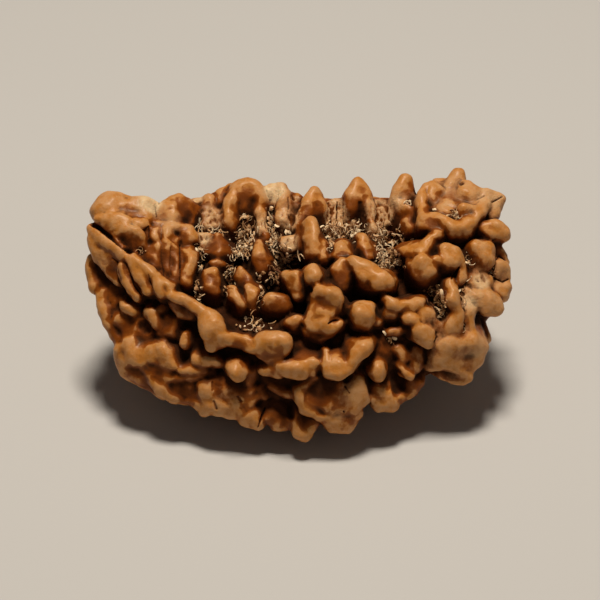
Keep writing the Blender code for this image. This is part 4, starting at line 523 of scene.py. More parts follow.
# Marks pressed into the skin: (radius, depth, how dark it is painted, partly as dirt and partly as painted
# shade in the groove, then points along the mark)
MARKS = (
    (0.14, 0.4, 0.4, (
        (-13.1, 4.8, -0.9), (-12.5, 4.45, -0.5), (-11.8, 3.9, -0.1), (-11.2, 3.4, 0.2), (-10.55, 2.95, 0.4),
    )),
    (0.05, 0.06, 0.15, ((-9.1, 6.0, -1.0), (-9.05, 5.5, -0.9), (-8.95, 5.0, -0.9))),
    (0.05, 0.06, 0.2, ((-10.75, 5.2, -0.4), (-10.5, 4.95, -0.2), (-10.7, 4.65, -0.1))),
    (0.06, 0.08, 0.25, ((-10.2, 4.4, -0.1), (-9.7, 4.35, 0.0), (-9.45, 4.6, 0.0), (-9.45, 3.9, 0.0))),
    (0.05, 0.08, 0.2, ((-11.7, 2.6, 0.4), (-11.35, 2.35, 0.5), (-11.45, 1.7, 0.4), (-11.15, 0.9, 0.4))),
    (0.05, 0.08, 0.2, ((-10.85, 2.3, 0.9), (-10.55, 1.6, 1.0), (-10.3, 0.9, 1.1), (-9.85, 0.3, 1.0))),
    (0.05, 0.08, 0.2, ((-9.4, 1.6, 1.4), (-9.3, 1.1, 1.5), (-9.0, 0.4, 1.5), (-8.7, 0.1, 1.4))),
    (0.05, 0.05, 0.12, ((-8.65, 3.1, 0.3), (-8.65, 2.4, 0.5), (-8.45, 1.5, 0.9))),
    (0.05, 0.05, 0.15, ((-8.05, 3.3, 0.3), (-8.1, 2.4, 0.5), (-8.05, 1.6, 0.8))),
    (0.06, 0.1, 0.3, ((-7.5, 3.4, 0.2), (-7.45, 2.4, 0.5), (-7.5, 1.2, 0.8))),
    (0.17, 0.12, 0.15, ((3.8, 6.1, -2.0), (3.8, 5.6, -1.9), (3.75, 5.1, -1.8))),
    (0.08, 0.12, 0.4, ((-0.75, 6.45, -2.3), (-0.7, 5.9, -2.2), (-0.8, 5.4, -2.1))),
    (0.06, 0.1, 0.3, ((-1.05, 6.9, -2.4), (-1.45, 6.3, -2.4), (-1.6, 5.9, -2.4))),
    (0.06, 0.15, 0.7, ((2.35, 6.2, -2.6), (2.3, 5.1, -2.4), (2.35, 4.2, -2.2))),
    (0.05, 0.12, 0.6, ((2.75, 6.0, -2.6), (2.7, 5.1, -2.4), (2.85, 4.4, -2.2))),
    (0.06, 0.1, 0.6, ((10.85, 6.15, -1.5), (11.6, 6.55, -1.7))),
    (0.06, 0.1, 0.6, ((12.1, 6.15, -1.6), (12.75, 6.5, -2.0))),
    (0.06, 0.1, 0.6, ((9.8, 6.75, -2.0), (10.2, 6.95, -2.1))),
    (0.06, 0.15, 0.5, ((10.0, 5.0, -0.8), (10.5, 5.1, -0.9), (10.9, 5.25, -1.0))),
    (0.08, 0.15, 0.5, ((8.88, 7.1, -2.3), (8.85, 6.2, -1.9))),
    (0.14, 0.25, 0.5, ((10.15, 7.3, -2.3), (10.25, 7.35, -2.3))),
    (0.06, 0.2, 0.6, ((4.1, -5.3, 1.3), (4.2, -6.0, 1.1), (4.4, -6.45, 0.9))),
    (0.06, 0.2, 0.7, ((-2.2, -6.7, 1.2), (-2.4, -7.3, 1.1), (-2.6, -7.9, 0.9))),
    (0.3, 0.1, 0.2, ((-1.1, -6.2, 1.0), (-0.65, -6.6, 0.9), (-0.55, -7.2, 0.9))),
    (0.1, 0.08, 0.25, ((-5.35, -6.3, 1.2), (-5.2, -6.75, 1.2))),
    (0.1, 0.08, 0.3, ((-3.85, -6.0, 1.5), (-3.65, -6.3, 1.4))),
    (0.08, 0.06, 0.2, ((-5.45, -5.1, 1.4), (-5.45, -5.6, 1.3))),
    (0.07, 0.1, 0.9, ((2.7, -6.9, 2.0), (2.72, -6.95, 2.0))),
    (0.08, 0.1, 0.7, ((2.8, -5.35, 2.1), (2.95, -5.6, 2.0), (3.05, -5.75, 2.0))),
    (0.06, 0.1, 0.6, ((8.45, -2.0, 1.5), (8.5, -2.3, 1.5), (8.3, -2.6, 1.4))),
    (0.07, 0.15, 0.4, ((10.1, -0.3, 0.7), (10.15, -1.0, 0.8), (10.25, -1.9, 0.8))),
    (0.06, 0.12, 0.5, ((12.2, 1.35, -0.9), (12.7, 1.15, -1.0), (13.1, 1.3, -1.2))),
    (0.06, 0.12, 0.5, ((12.25, 2.5, -0.9), (12.5, 2.75, -1.1), (12.9, 2.5, -1.2))),
    (0.07, 0.15, 0.5, ((9.9, 2.0, 0.8), (9.6, 1.6, 0.8), (9.4, 1.3, 0.9))),
    (0.06, 0.12, 0.5, ((1.75, -1.45, 3.0), (2.0, -1.3, 2.9), (2.35, -1.2, 2.8))),
    (0.05, 0.1, 0.6, ((-3.7, 7.3, -2.4), (-3.6, 7.1, -2.3))),
    (0.16, 0.15, 0.3, ((0.55, 0.75, 2.6), (0.65, 0.6, 2.6))),
    (0.9, 0.12, 0.0, ((1.3, -5.7, 2.2), (1.6, -5.6, 2.2))),
    (0.5, 0.08, 0.0, ((-7.35, 5.7, -1.2), (-7.2, 5.2, -1.1))),
    (0.3, 0.06, 0.1, ((9.0, -4.6, 0.4), (9.6, -4.75, 0.3), (10.1, -4.9, 0.2))),
    (0.5, 0.2, 0.2, ((6.0, -4.7, 0.8), (6.15, -5.4, 0.8))),
    (0.4, 0.05, 0.0, ((-10.7, -4.35, -0.2), (-10.0, -4.75, 0.0))),
    (0.35, 0.05, 0.0, ((-9.2, -4.25, 0.3), (-8.2, -4.65, 0.7))),
    (0.4, 0.2, 0.2, ((-9.8, -1.6, 0.0), (-9.6, -1.8, 0.0))),
    (0.6, 0.1, 0.2, ((-11.6, 1.8, 0.0), (-11.5, 1.5, 0.0))),
)

# Where the skin is rubbed matte or peeled: (across, up, out, radius, how much)
WORN_SPOTS = (
    (-12.0, 6.2, -1.4, 1.5, 0.45),
    (-12.1, 5.1, -0.5, 0.4, 0.9),
    (-11.4, 4.8, -0.2, 0.5, 0.9),
    (-10.4, 4.4, 0.1, 0.5, 0.8),
    (-11.4, 6.3, -1.4, 0.4, 0.8),
    (-9.5, 6.0, -1.1, 0.9, 1.2),
    (-10.3, 6.5, -1.5, 0.5, 0.8),
    (-8.2, 4.7, -0.5, 0.7, 0.65),
    (-7.2, 4.4, -0.6, 0.4, 0.6),
    (-12.3, 2.6, -0.4, 0.8, 0.4),
    (-6.4, 6.2, -2.6, 0.5, 0.9),
    (-1.6, 6.9, -2.4, 0.75, 1.3),
    (-0.9, 5.4, -1.9, 0.9, 0.6),
    (-0.3, 4.5, -1.5, 0.5, 0.9),
    (-0.7, 3.5, -0.7, 0.6, 1.0),
    (-6.1, 3.8, -0.9, 0.5, 1.0),
    (-5.5, 5.2, -1.9, 0.8, 0.6),
    (-2.5, 4.8, -1.7, 0.7, 0.7),
    (2.2, 5.6, -2.6, 0.9, 0.9),
    (2.3, 4.5, -2.1, 0.7, 0.8),
    (5.0, 5.6, -2.6, 0.9, 0.9),
    (4.9, 4.4, -2.1, 0.6, 0.8),
    (6.1, 6.2, -2.2, 0.6, 0.8),
    (7.3, 6.6, -2.0, 0.4, 0.9),
    (10.0, 7.0, -2.4, 1.4, 0.55),
    (11.8, 6.3, -1.9, 1.3, 0.75),
    (10.9, 6.9, -2.2, 0.7, 0.75),
    (9.3, 6.9, -2.2, 0.6, 0.7),
    (9.2, 5.6, -1.2, 0.7, 0.85),
    (10.6, 5.5, -1.0, 0.6, 0.75),
    (7.8, 6.0, -1.6, 0.5, 0.7),
    (11.3, 3.4, -0.1, 0.9, 0.35),
    (12.8, 1.5, -1.0, 1.2, 0.55),
    (10.8, 0.1, 0.5, 1.0, 0.65),
    (12.0, -0.3, 0.2, 0.8, 0.6),
    (11.3, 1.1, 0.1, 0.7, 0.9),
    (10.5, -0.2, 0.7, 0.7, 0.9),
    (9.6, -3.0, 0.9, 2.2, 0.4),
    (10.9, -3.0, 0.3, 1.0, 0.7),
    (8.2, -1.2, 1.3, 0.8, 0.45),
    (5.2, -6.4, 0.6, 1.0, 0.3),
    (3.3, -5.7, 1.9, 0.9, 0.6),
    (2.4, -7.0, 1.6, 0.7, 0.45),
    (-4.6, -6.4, 1.2, 1.0, 0.35),
    (-8.6, -3.2, 0.9, 0.7, 0.4),
    (4.8, -4.7, 1.6, 0.5, 0.4),
)

# Where the pulp has torn off and left the skin rough: (across, up, out, radius, how much)
ROUGH_SPOTS = (
    (11.3, 1.2, -0.1, 0.5, 0.6),
    (10.6, 0.3, 0.6, 0.4, 0.5),
    (8.3, -1.3, 1.1, 0.4, 0.5),
    (-5.5, 5.0, -1.8, 0.8, 0.6),
    (-6.1, 3.8, -1.0, 0.5, 0.6),
    (-2.4, 4.6, -1.6, 0.6, 0.7),
    (-1.6, 6.5, -2.4, 0.5, 0.35),
    (-0.7, 5.0, -1.7, 0.9, 0.6),
    (-0.3, 6.3, -2.4, 0.4, 0.6),
    (-0.7, 3.5, -0.8, 0.6, 0.6),
    (2.2, 5.4, -2.4, 0.9, 1.0),
    (2.4, 4.3, -2.0, 0.8, 1.0),
    (3.5, 4.6, -1.9, 0.5, 0.8),
    (5.0, 5.4, -2.5, 0.9, 0.8),
    (4.9, 4.2, -2.0, 0.7, 1.0),
    (6.1, 6.1, -2.2, 0.5, 0.6),
    (-6.4, 6.1, -2.5, 0.4, 0.6),
)

# Where the skin is darkened, partly for its own dark brown and partly as painted shade: (across, up, out,
# radius, how much)
BROWN_AND_SHADE_SPOTS = (
    (-7.3, 5.7, -1.1, 0.85, 1.0),
    (-8.4, 5.6, -1.1, 0.4, 0.4),
    (-7.0, 4.0, -0.3, 0.45, 0.7),
    (-9.1, 4.0, 0.0, 0.4, 0.5),
    (-10.7, 3.8, 0.3, 0.6, 0.5),
    (-8.3, -1.8, 0.9, 0.8, 0.4),
    (-11.4, -1.4, -0.2, 0.8, 0.25),
    (-10.4, -4.5, 0.0, 0.5, 0.9),
    (-8.7, -4.4, 0.6, 0.5, 0.9),
    (3.3, 6.2, -1.8, 0.8, 0.7),
    (0.7, 5.6, -1.6, 0.6, 0.5),
    (-2.9, 3.3, -0.3, 0.5, 0.5),
    (-4.8, 3.6, -0.6, 0.6, 0.8),
    (8.0, 4.9, -0.6, 0.6, 0.8),
    (-12.2, 1.3, -0.6, 0.6, 0.6),
    (8.2, 2.0, 1.1, 0.7, 0.5),
    (-3.3, 6.4, -1.9, 0.5, 0.4),
    (-12.2, 1.8, -0.9, 0.8, 0.4),
    (1.5, -5.7, 2.2, 0.9, 1.0),
    (0.1, -7.3, 1.4, 0.5, 0.6),
    (2.8, -7.6, 1.5, 0.45, 0.5),
    (-1.6, -6.7, 1.1, 0.9, 0.8),
    (-4.8, -5.3, 1.6, 0.6, 0.5),
    (-3.4, -5.3, 1.7, 0.5, 0.4),
    (-7.3, -5.5, 0.8, 0.8, 0.5),
    (-9.5, -5.6, 0.0, 0.9, 0.5),
    (4.9, -4.6, 2.0, 0.5, 0.6),
    (8.2, 4.6, -0.1, 0.7, 0.8),
    (7.3, 1.4, 1.5, 0.7, 0.5),
    (11.4, 2.1, 0.0, 0.7, 0.5),
    (-5.7, 0.9, 1.2, 0.6, 0.5),
    (-2.4, 2.2, 0.4, 0.8, 0.6),
    (-5.1, 3.0, -0.2, 0.7, 0.6),
    (0.2, 0.9, 1.9, 0.6, 0.5),
    (2.4, 1.2, 1.9, 0.6, 0.5),
    (1.2, -2.4, 2.7, 0.5, 0.6),
    (-1.2, 0.0, 1.9, 0.4, 0.4),
    (7.2, -5.3, 0.3, 0.6, 0.6),
    (9.2, 0.3, 1.5, 0.35, 0.7),
    (7.0, -2.2, 1.6, 0.5, 0.5),
    (4.3, 3.2, 0.4, 0.6, 0.4),
    (-8.4, 2.6, 0.6, 0.7, 0.5),
    (-7.1, 1.3, 1.0, 0.4, 0.5),
)


def inwards(ball):
    """The way from a place to the nearest of the body's middle lines."""
    ways = []
    for start, end in MIDDLE_LINES:
        share = geometry.intersect_point_line(ball, start, end)[1]
        ways.append(Vector(start).lerp(Vector(end), min(max(share, 0), 1)) - ball)
    return min(ways, key=lambda way: way.length)


def rooted(balls, spread=ROOT_SPREAD):
    """Adds to each ball a wider one, sunk towards the body's middle, so that a knob has a broad foot."""
    roots = []
    for across, up, out, radius in balls:
        way = inwards(Vector((across, up, out)))
        sunk = Vector((across, up, out)) + way.normalized() * min(ROOT_DEPTH, way.length)
        roots.append((*sunk, radius + spread))
    return (*balls, *roots)


def grown(balls):
    return [(*ball[:3], ball[3] + KNOB_GROWTH) for ball in balls]


def wrap(bm, balls):
    """Adds the skin stretched round some balls."""
    piece = bmesh.new()
    for across, up, out, radius in balls:
        place = Matrix.Translation((across, up, out))
        bmesh.ops.create_icosphere(piece, subdivisions=ROUNDNESS, radius=radius, matrix=place)
    bmesh.ops.delete(piece, geom=piece.edges[:] + piece.faces[:], context="EDGES_FACES")
    bmesh.ops.convex_hull(piece, input=piece.verts[:])
    bmesh.ops.delete(piece, geom=[v for v in piece.verts if not v.link_faces], context="VERTS")
    bmesh.ops.recalc_face_normals(piece, faces=piece.faces[:])
    mesh = bpy.data.meshes.new("piece")
    piece.to_mesh(mesh)
    piece.free()
    bm.from_mesh(mesh)
    bpy.data.meshes.remove(mesh)


def evaluated(bm, *modifiers):
    """Runs modifiers, each (kind, settings), over a bmesh, in place."""
    mesh = bpy.data.meshes.new("holder")
    bm.to_mesh(mesh)
    holder = bpy.data.objects.new("holder", mesh)
    bpy.context.scene.collection.objects.link(holder)
    for kind, settings in modifiers:
        modifier = holder.modifiers.new(kind.lower(), kind)
        for name, value in settings.items():
            setattr(modifier, name, value)
    graph = bpy.context.evaluated_depsgraph_get()
    result = bpy.data.meshes.new_from_object(holder.evaluated_get(graph), depsgraph=graph)
    bm.clear()
    bm.from_mesh(result)
    bpy.data.objects.remove(holder)
    bpy.data.meshes.remove(mesh)
    bpy.data.meshes.remove(result)


def keep_largest(bm):
    """Drops every closed skin but the largest, which fills pockets sealed inside the body."""
    unseen = set(bm.verts)
    largest = set()
    while unseen:
        island = {unseen.pop()}
        edge = set(island)
        while edge:
            edge = {e.other_vert(v) for v in edge for e in v.link_edges} - island
            island |= edge
        unseen -= island
        largest = max(largest, island, key=len)
    bmesh.ops.delete(bm, geom=[v for v in bm.verts if v not in largest], context="VERTS")


def hidden_ridges():
    """Short worm-like ridges for the back and the underside, joined at random."""
    draw = random.Random(HIDDEN_SEED)
    balls = [ball for knob in KNOBS + RIDGES + RIM + RIM_RIDGES for ball in knob]
    outline = [Vector(ball[:2]) for ball in balls]
    shown = KDTree(len(balls))
    for ball in balls:
        shown.insert(ball[:3], 0)
    shown.balance()
    bm = bmesh.new()
    for balls in CORE:
        wrap(bm, balls)
    evaluated(bm, ("REMESH", {"mode": "VOXEL", "voxel_size": CORE_VOXEL}))
    bm.normal_update()
    spots = sorted((tuple(v.co), tuple(v.normal)) for v in bm.verts)
    bm.free()
    draw.shuffle(spots)
    kept = []
    for place, normal in spots:
        if normal[2] > HIDDEN_TURN or place[1] > HIDDEN_TOP or shown.find(place)[2] < HIDDEN_CLEAR:
            continue
        flat = Vector(place[:2])
        if (flat - Vector(NOTCH)).length < NOTCH_RADIUS:
            continue
        beyond = flat + flat.normalized() * HIDDEN_INSET
        covers = [spot for spot in outline if (spot - beyond).length < HIDDEN_NEAR]
        if not any((spot - flat).dot(beyond - flat) > HIDDEN_INSET ** 2 for spot in covers):
            continue
        if all((Vector(place) - other).length > HIDDEN_SPACING for other, _ in kept):
            kept.append((Vector(place) + Vector(normal) * HIDDEN_LIFT, draw.uniform(*HIDDEN_RADIUS)))
    ridges = []
    for index, (place, radius) in enumerate(kept):
        ridges.append(((*place, radius), (*place, radius)))
        near = sorted(kept[index + 1:], key=lambda other: (other[0] - place).length)[:2]
        for other, other_radius in near:
            if (other - place).length < HIDDEN_REACH and draw.random() < HIDDEN_JOIN:
                waist = (*(place + other) / 2, HIDDEN_WAIST * (radius + other_radius) / 2)
                ridges.append(((*place, radius), waist))
                ridges.append((waist, (*other, other_radius)))
    return ridges


def neighbours(mesh):
    """The two ends of every edge, and how many edges meet at every point."""
    ends = np.empty(2 * len(mesh.edges), np.int64)
    mesh.edges.foreach_get("vertices", ends)
    ends = ends.reshape(-1, 2)
    return ends, np.bincount(ends.ravel(), minlength=len(mesh.vertices))


def averaged(values, ends, count):
    """Each point's mean of its neighbours' values."""
    start, end = ends.T
    total = [
        np.bincount(start, column[end], len(count)) + np.bincount(end, column[start], len(count))
        for column in np.atleast_2d(values.T)
    ]
    return (np.array(total) / np.maximum(count, 1)).T.reshape(values.shape)


def places_and_normals(mesh):
    places = np.empty(3 * len(mesh.vertices))
    normals = np.empty(3 * len(mesh.vertices))
    mesh.vertices.foreach_get("co", places)
    mesh.vertex_normals.foreach_get("vector", normals)
    return places.reshape(-1, 3), normals.reshape(-1, 3)


def rounded_off(mesh, rounds, hollow_share):
    """Wears the outer edges round and leaves the creases between knobs nearly as they are."""
    ends, count = neighbours(mesh)
    for _ in range(rounds):
        places, normals = places_and_normals(mesh)
        way = averaged(places, ends, count) - places
        hollow = np.sum(way * normals, axis=1) > 0
        places += way * np.where(hollow, hollow_share, SMOOTHING_STEP)[:, None]
        mesh.vertices.foreach_set("co", places.ravel())
        mesh.update()


def warped(mesh, wave, amount):
    """Bends everything a little, so that no ridge is straight and no facet flat."""
    noise.seed_set(WARP_SEED)
    for vertex in mesh.vertices:
        vertex.co += noise.noise_vector(vertex.co / wave) * amount
    mesh.update()


def swollen(mesh, wave, amount):
    """Raises and sinks the surface along its own normals by a soft noise."""
    places, normals = places_and_normals(mesh)
    rise = np.array([noise.noise(Vector(place) / wave) for place in places]) * amount
    mesh.vertices.foreach_set("co", (places + normals * rise[:, None]).ravel())
    mesh.update()


def fluted(mesh, wave, amount):
    """Raises and sinks the surface by a noise that runs down the flanks, from each crest to its foot."""
    places, normals = places_and_normals(mesh)
    rise = np.empty(len(places))
    for index, place in enumerate(on_face(places, (0, 0, 0))):
        way = inwards(Vector(place))
        rise[index] = noise.noise((Vector(place) + way - way.normalized() * FLUTE_REACH) / wave)
    mesh.vertices.foreach_set("co", (places + normals * (rise * amount)[:, None]).ravel())
    mesh.update()


def dimpled(mesh, wave, amount):
    """Sinks shallow hollows side by side into the skin, with crisp edges between them."""
    places, normals = places_and_normals(mesh)
    rise = np.array([noise.voronoi(Vector(place) / wave)[0][0] - 0.5 for place in places]) * amount
    mesh.vertices.foreach_set("co", (places + normals * rise[:, None]).ravel())
    mesh.update()


def torn(mesh):
    """Tears grooves that run up the face into the rough places."""
    share = spot_share(mesh, (0, 0, 0), ROUGH_SPOTS)
    places, normals = places_and_normals(mesh)
    rise = np.zeros(len(places))
    for index in np.nonzero(share)[0]:
        along = Vector(on_face(places[index], (0, 0, 0)) / FIBRE_WAVE)
        fine = abs(noise.noise(along * FINE_FIBRE_CLOSENESS))
        rise[index] = -abs(noise.noise(along)) - FINE_FIBRE_DEPTH * fine
    mesh.vertices.foreach_set("co", (places + normals * (rise * share * TORN_DEPTH)[:, None]).ravel())
    mesh.update()


def store(mesh, name, values):
    layer = mesh.attributes.new(name, "FLOAT", "POINT")
    layer.data.foreach_set("value", values.astype(np.float32))


def on_face(places, origin):
    """Turns places in the pose the bead lies in back into its face frame."""
    turn = np.array(Matrix.Rotation(math.radians(-FACE_LEAN), 3, "X"))
    return (places - np.array(origin)) @ turn.T


def distance_to_line(places, points):
    """How far each place is from a line through points."""
    far = np.full(len(places), np.inf)
    for start, end in zip(np.array(points)[:-1], np.array(points)[1:]):
        way = end - start
        share = np.clip((places - start) @ way / (way @ way), 0, 1)
        far = np.minimum(far, np.linalg.norm(places - start - share[:, None] * way, axis=1))
    return far


def pressed(mesh):
    """Presses the marks into the side of the skin that faces out, and says how dark each point is painted,
    for dirt and for shade in the mark.
    """
    mark_dirt_and_shade = np.zeros(len(mesh.vertices))
    for radius, depth, dark, points in MARKS:
        places, normals = places_and_normals(mesh)
        face, out = on_face(places, (0, 0, 0)), on_face(normals, (0, 0, 0))[:, 2]
        flat = face * (1, 1, MARK_REACH)
        line = np.array(points) * (1, 1, MARK_REACH)
        share = np.clip(1 - (distance_to_line(flat, line) / radius) ** 2, 0, 1)
        share *= np.clip(out * MARK_FACING, 0, 1)
        places -= normals * (share * depth)[:, None]
        mark_dirt_and_shade = np.maximum(mark_dirt_and_shade, share * dark)
        mesh.vertices.foreach_set("co", places.ravel())
        mesh.update()
    return mark_dirt_and_shade


def finer_at_marks(bm):
    """Splits the skin more finely along the fine marks on the side of the face."""
    bm.normal_update()
    verts = bm.verts[:]
    face = on_face(np.array([v.co for v in verts]), (0, 0, 0)) * (1, 1, MARK_REACH)
    out = on_face(np.array([v.normal for v in verts]), (0, 0, 0))[:, 2]
    near = np.zeros(len(verts), bool)
    for radius, _, _, points in MARKS:
        if radius <= FINE_MARK:
            far = distance_to_line(face, np.array(points) * (1, 1, MARK_REACH))
            near |= (far < radius + FINE_MARGIN) & (out > 0)
    chosen = {v for v, yes in zip(verts, near) if yes}
    edges = [e for e in bm.edges if e.verts[0] in chosen and e.verts[1] in chosen]
    bmesh.ops.subdivide_edges(bm, edges=edges, cuts=1, use_grid_fill=True)
    bmesh.ops.triangulate(bm, faces=[f for f in bm.faces if len(f.verts) > 4])


def bead_shape():
    """The bead's fine skin in millimetres, in the pose it lies in, and where its face frame's origin is."""
    bm = bmesh.new()
    for balls in CORE:
        wrap(bm, balls)
    for balls in KNOBS:
        wrap(bm, rooted(grown(balls)))
    for balls in RIM:
        wrap(bm, rooted(grown(balls), LIP_SPREAD))
    for balls in (*RIDGES, *hidden_ridges()):
        for pair in zip(balls, balls[1:]):
            wrap(bm, rooted(grown(pair)))
    for balls in RIM_RIDGES:
        for pair in zip(balls, balls[1:]):
            wrap(bm, rooted(grown(pair), LIP_SPREAD))
    bmesh.ops.transform(bm, matrix=Matrix.Rotation(math.radians(FACE_LEAN), 4, "X"), verts=bm.verts[:])
    wrap(bm, [(across, back, GROUND + up, radius) for across, back, up, radius in SEAT_BALLS])
    evaluated(bm, ("REMESH", {"mode": "VOXEL", "voxel_size": VOXEL}))
    keep_largest(bm)
    mesh = bpy.data.meshes.new("bead_shell")
    bm.to_mesh(mesh)
    warped(mesh, WARP_WAVE, WARP)
    rounded_off(mesh, ROUNDING_ROUNDS, HOLLOW_SHARE)
    for wave, amount in SWELLINGS:
        swollen(mesh, wave, amount)
    for wave, amount in FLUTES:
        fluted(mesh, wave, amount)
    for wave, amount in DIMPLES:
        dimpled(mesh, wave, amount)
    torn(mesh)
    bm.clear()
    bm.from_mesh(mesh)
    finer_at_marks(bm)
    bm.to_mesh(mesh)
    store(mesh, "mark_dirt_and_shade", pressed(mesh))
    bm.clear()
    bm.from_mesh(mesh)
    whole = bm.verts[:] + bm.edges[:] + bm.faces[:]
    flat = {"plane_co": (0, 0, GROUND), "plane_no": (0, 0, -1)}
    cut = bmesh.ops.bisect_plane(bm, geom=whole, clear_outer=True, **flat)
    rim = [e for e in cut["geom_cut"] if isinstance(e, bmesh.types.BMEdge)]
    bmesh.ops.edgeloop_fill(bm, edges=rim)
    keep_largest(bm)
    bmesh.ops.triangulate(bm, faces=bm.faces[:])
    bmesh.ops.recalc_face_normals(bm, faces=bm.faces[:])
    across = [v.co.x for v in bm.verts]
    back = [v.co.y for v in bm.verts]
    middle = Vector(((min(across) + max(across)) / 2, (min(back) + max(back)) / 2, GROUND))
    bmesh.ops.translate(bm, verts=bm.verts[:], vec=-middle)
    if len(bm.faces) > FACETS:
        evaluated(bm, ("DECIMATE", {"ratio": FACETS / len(bm.faces)}))
    bm.to_mesh(mesh)
    bm.free()
    return mesh, -middle


def shading_values(mesh):
    """How closed in every point is (0 open, 1 buried), and how hollow the skin is there, fine and broad."""
    ends, count = neighbours(mesh)
    places, normals = places_and_normals(mesh)
    tree = BVHTree.FromPolygons([v.co for v in mesh.vertices], [tuple(p.vertices) for p in mesh.polygons])
    draw = random.Random(RAY_SEED)
    rays = []
    while len(rays) < RAYS:
        ray = Vector([draw.uniform(-1, 1) for _ in range(3)])
        if RAY_SHORTEST < ray.length < 1:
            rays.append(ray.normalized())
    closed = np.zeros(len(mesh.vertices))
    for index, (place, normal) in enumerate(zip(places, normals)):
        out = Vector(normal)
        start = Vector(place) + out * RAY_LIFT
        hits = 0.0
        for ray in rays:
            way = (ray + out * RAY_RISE).normalized()
            distance = tree.ray_cast(start, way, RAY_REACH)[3]
            if distance is not None:
                hits += 1 - (distance / RAY_REACH) ** 2 / 2
        closed[index] = hits / RAYS
    for _ in range(CLOSED_ROUNDS):
        closed = (closed + averaged(closed, ends, count)) / 2
    hollows = []
    smooth = places.copy()
    done = 0
    for rounds in HOLLOW_ROUNDS:
        for _ in range(rounds - done):
            smooth += (averaged(smooth, ends, count) - smooth) * SMOOTHING_STEP
        done = rounds
        hollows.append(np.sum((smooth - places) * normals, axis=1))
    return closed, hollows


def depth_inside(mesh):
    """How far every point lies inside a skin stretched over the whole bead."""
    bm = bmesh.new()
    bm.from_mesh(mesh)
    bmesh.ops.delete(bm, geom=bm.edges[:] + bm.faces[:], context="EDGES_FACES")
    bmesh.ops.convex_hull(bm, input=bm.verts[:])
    tree = BVHTree.FromBMesh(bm)
    bm.free()
    return np.array([tree.find_nearest(v.co)[3] for v in mesh.vertices])


def spot_share(mesh, face_origin, spots):
    """How much of its amount the strongest of some soft round spots gives to each point."""
    places, _ = places_and_normals(mesh)
    face = on_face(places, face_origin)
    most = np.zeros(len(places))
    for across, up, out, radius, amount in spots:
        far = np.linalg.norm(face - (across, up, out), axis=1) / radius
        most = np.maximum(most, amount * np.clip(SPOT_FADE - far, 0, 1))
    return most


shell_mesh, face_origin = bead_shape()
# These measures set the shell's painted shade and light: how closed in, how hollow, how deep and how upturned
# the skin is
closed, (fine_hollow, broad_hollow) = shading_values(shell_mesh)
store(shell_mesh, "depth_inside", depth_inside(shell_mesh))
store(shell_mesh, "closed_in", closed)
store(shell_mesh, "fine_hollow", fine_hollow)
store(shell_mesh, "broad_hollow", broad_hollow)
store(shell_mesh, "worn", spot_share(shell_mesh, face_origin, WORN_SPOTS))
store(shell_mesh, "brown_and_shade", spot_share(shell_mesh, face_origin, BROWN_AND_SHADE_SPOTS))
store(shell_mesh, "torn", spot_share(shell_mesh, face_origin, ROUGH_SPOTS))
store(shell_mesh, "upturned", on_face(places_and_normals(shell_mesh)[1], (0, 0, 0))[:, 1])
shell_skin = shell_mesh.copy()
shell_mesh.transform(Matrix.Scale(METRES, 4))
shell_mesh.shade_smooth()
shell = bpy.data.objects.new("bead_shell", shell_mesh)
bpy.context.scene.collection.objects.link(shell)


def add_node(tree, kind, inputs=None, **settings):
    """Adds a node. Each input, by name or number, is a value or another node's output."""
    new = tree.nodes.new(kind)
    for name, value in settings.items():
        setattr(new, name, value)
    for name, value in (inputs or {}).items():
        if isinstance(value, bpy.types.NodeSocket):
            tree.links.new(value, new.inputs[name])
        else:
            new.inputs[name].default_value = value
    return new


def measured(tree, name):
    """A value that the mesh carries at every point."""
    return add_node(tree, "ShaderNodeAttribute", attribute_name=name).outputs["Fac"]


def spread(tree, value, low, high, start=0.0, end=1.0):
    """Takes low..high of a value to start..end, and no further."""
    inputs = {"Value": value, "From Min": low, "From Max": high, "To Min": start, "To Max": end}
    return add_node(tree, "ShaderNodeMapRange", inputs, clamp=True).outputs["Result"]


def sums(tree, operation, first, second=0.0, clamp=False):
    inputs = {0: first, 1: second}
    return add_node(tree, "ShaderNodeMath", inputs, operation=operation, use_clamp=clamp).outputs[0]


def blend(tree, share, under, over, blend_type="MIX"):
    """Lays one colour over another."""
    inputs = {0: share, 6: under, 7: over}
    mix = add_node(tree, "ShaderNodeMix", inputs, data_type="RGBA", blend_type=blend_type)
    return mix.outputs[2]


def grain_group():
    """The soft, cloudy grain that the shell and the husk share."""
    group = bpy.data.node_groups.new("grain", "ShaderNodeTree")
    for name in ("Grains to the metre", "Detail", "Roughness"):
        group.interface.new_socket(name=name, in_out="INPUT", socket_type="NodeSocketFloat")
    group.interface.new_socket(name="Grain", in_out="OUTPUT", socket_type="NodeSocketFloat")
    given = add_node(group, "NodeGroupInput").outputs
    inputs = {
        "Vector": add_node(group, "ShaderNodeTexCoord").outputs["Object"],
        "Scale": given["Grains to the metre"],
        "Detail": given["Detail"],
        "Roughness": given["Roughness"],
    }
    clouds = add_node(group, "ShaderNodeTexNoise", inputs).outputs["Fac"]
    add_node(group, "NodeGroupOutput", {"Grain": clouds})
    return group


GRAIN = grain_group()


def grain(tree, scale, detail, roughness):
    """Places the shared grain in a material."""
    holder = tree.nodes.new("ShaderNodeGroup")
    holder.node_tree = GRAIN
    for name, value in (("Grains to the metre", scale), ("Detail", detail), ("Roughness", roughness)):
        holder.inputs[name].default_value = value
    return holder.outputs["Grain"]


def tones(tree, value, stops):
    """Colours along a value; each stop is (place, colour)."""
    ramp = add_node(tree, "ShaderNodeValToRGB", {"Fac": value})
    points = ramp.color_ramp.elements
    while len(points) < len(stops):
        points.new(0.5)
    for point, (place, colour) in zip(points, stops):
        point.position = place
        point.color = (*colour, 1)
    return ramp.outputs["Color"]


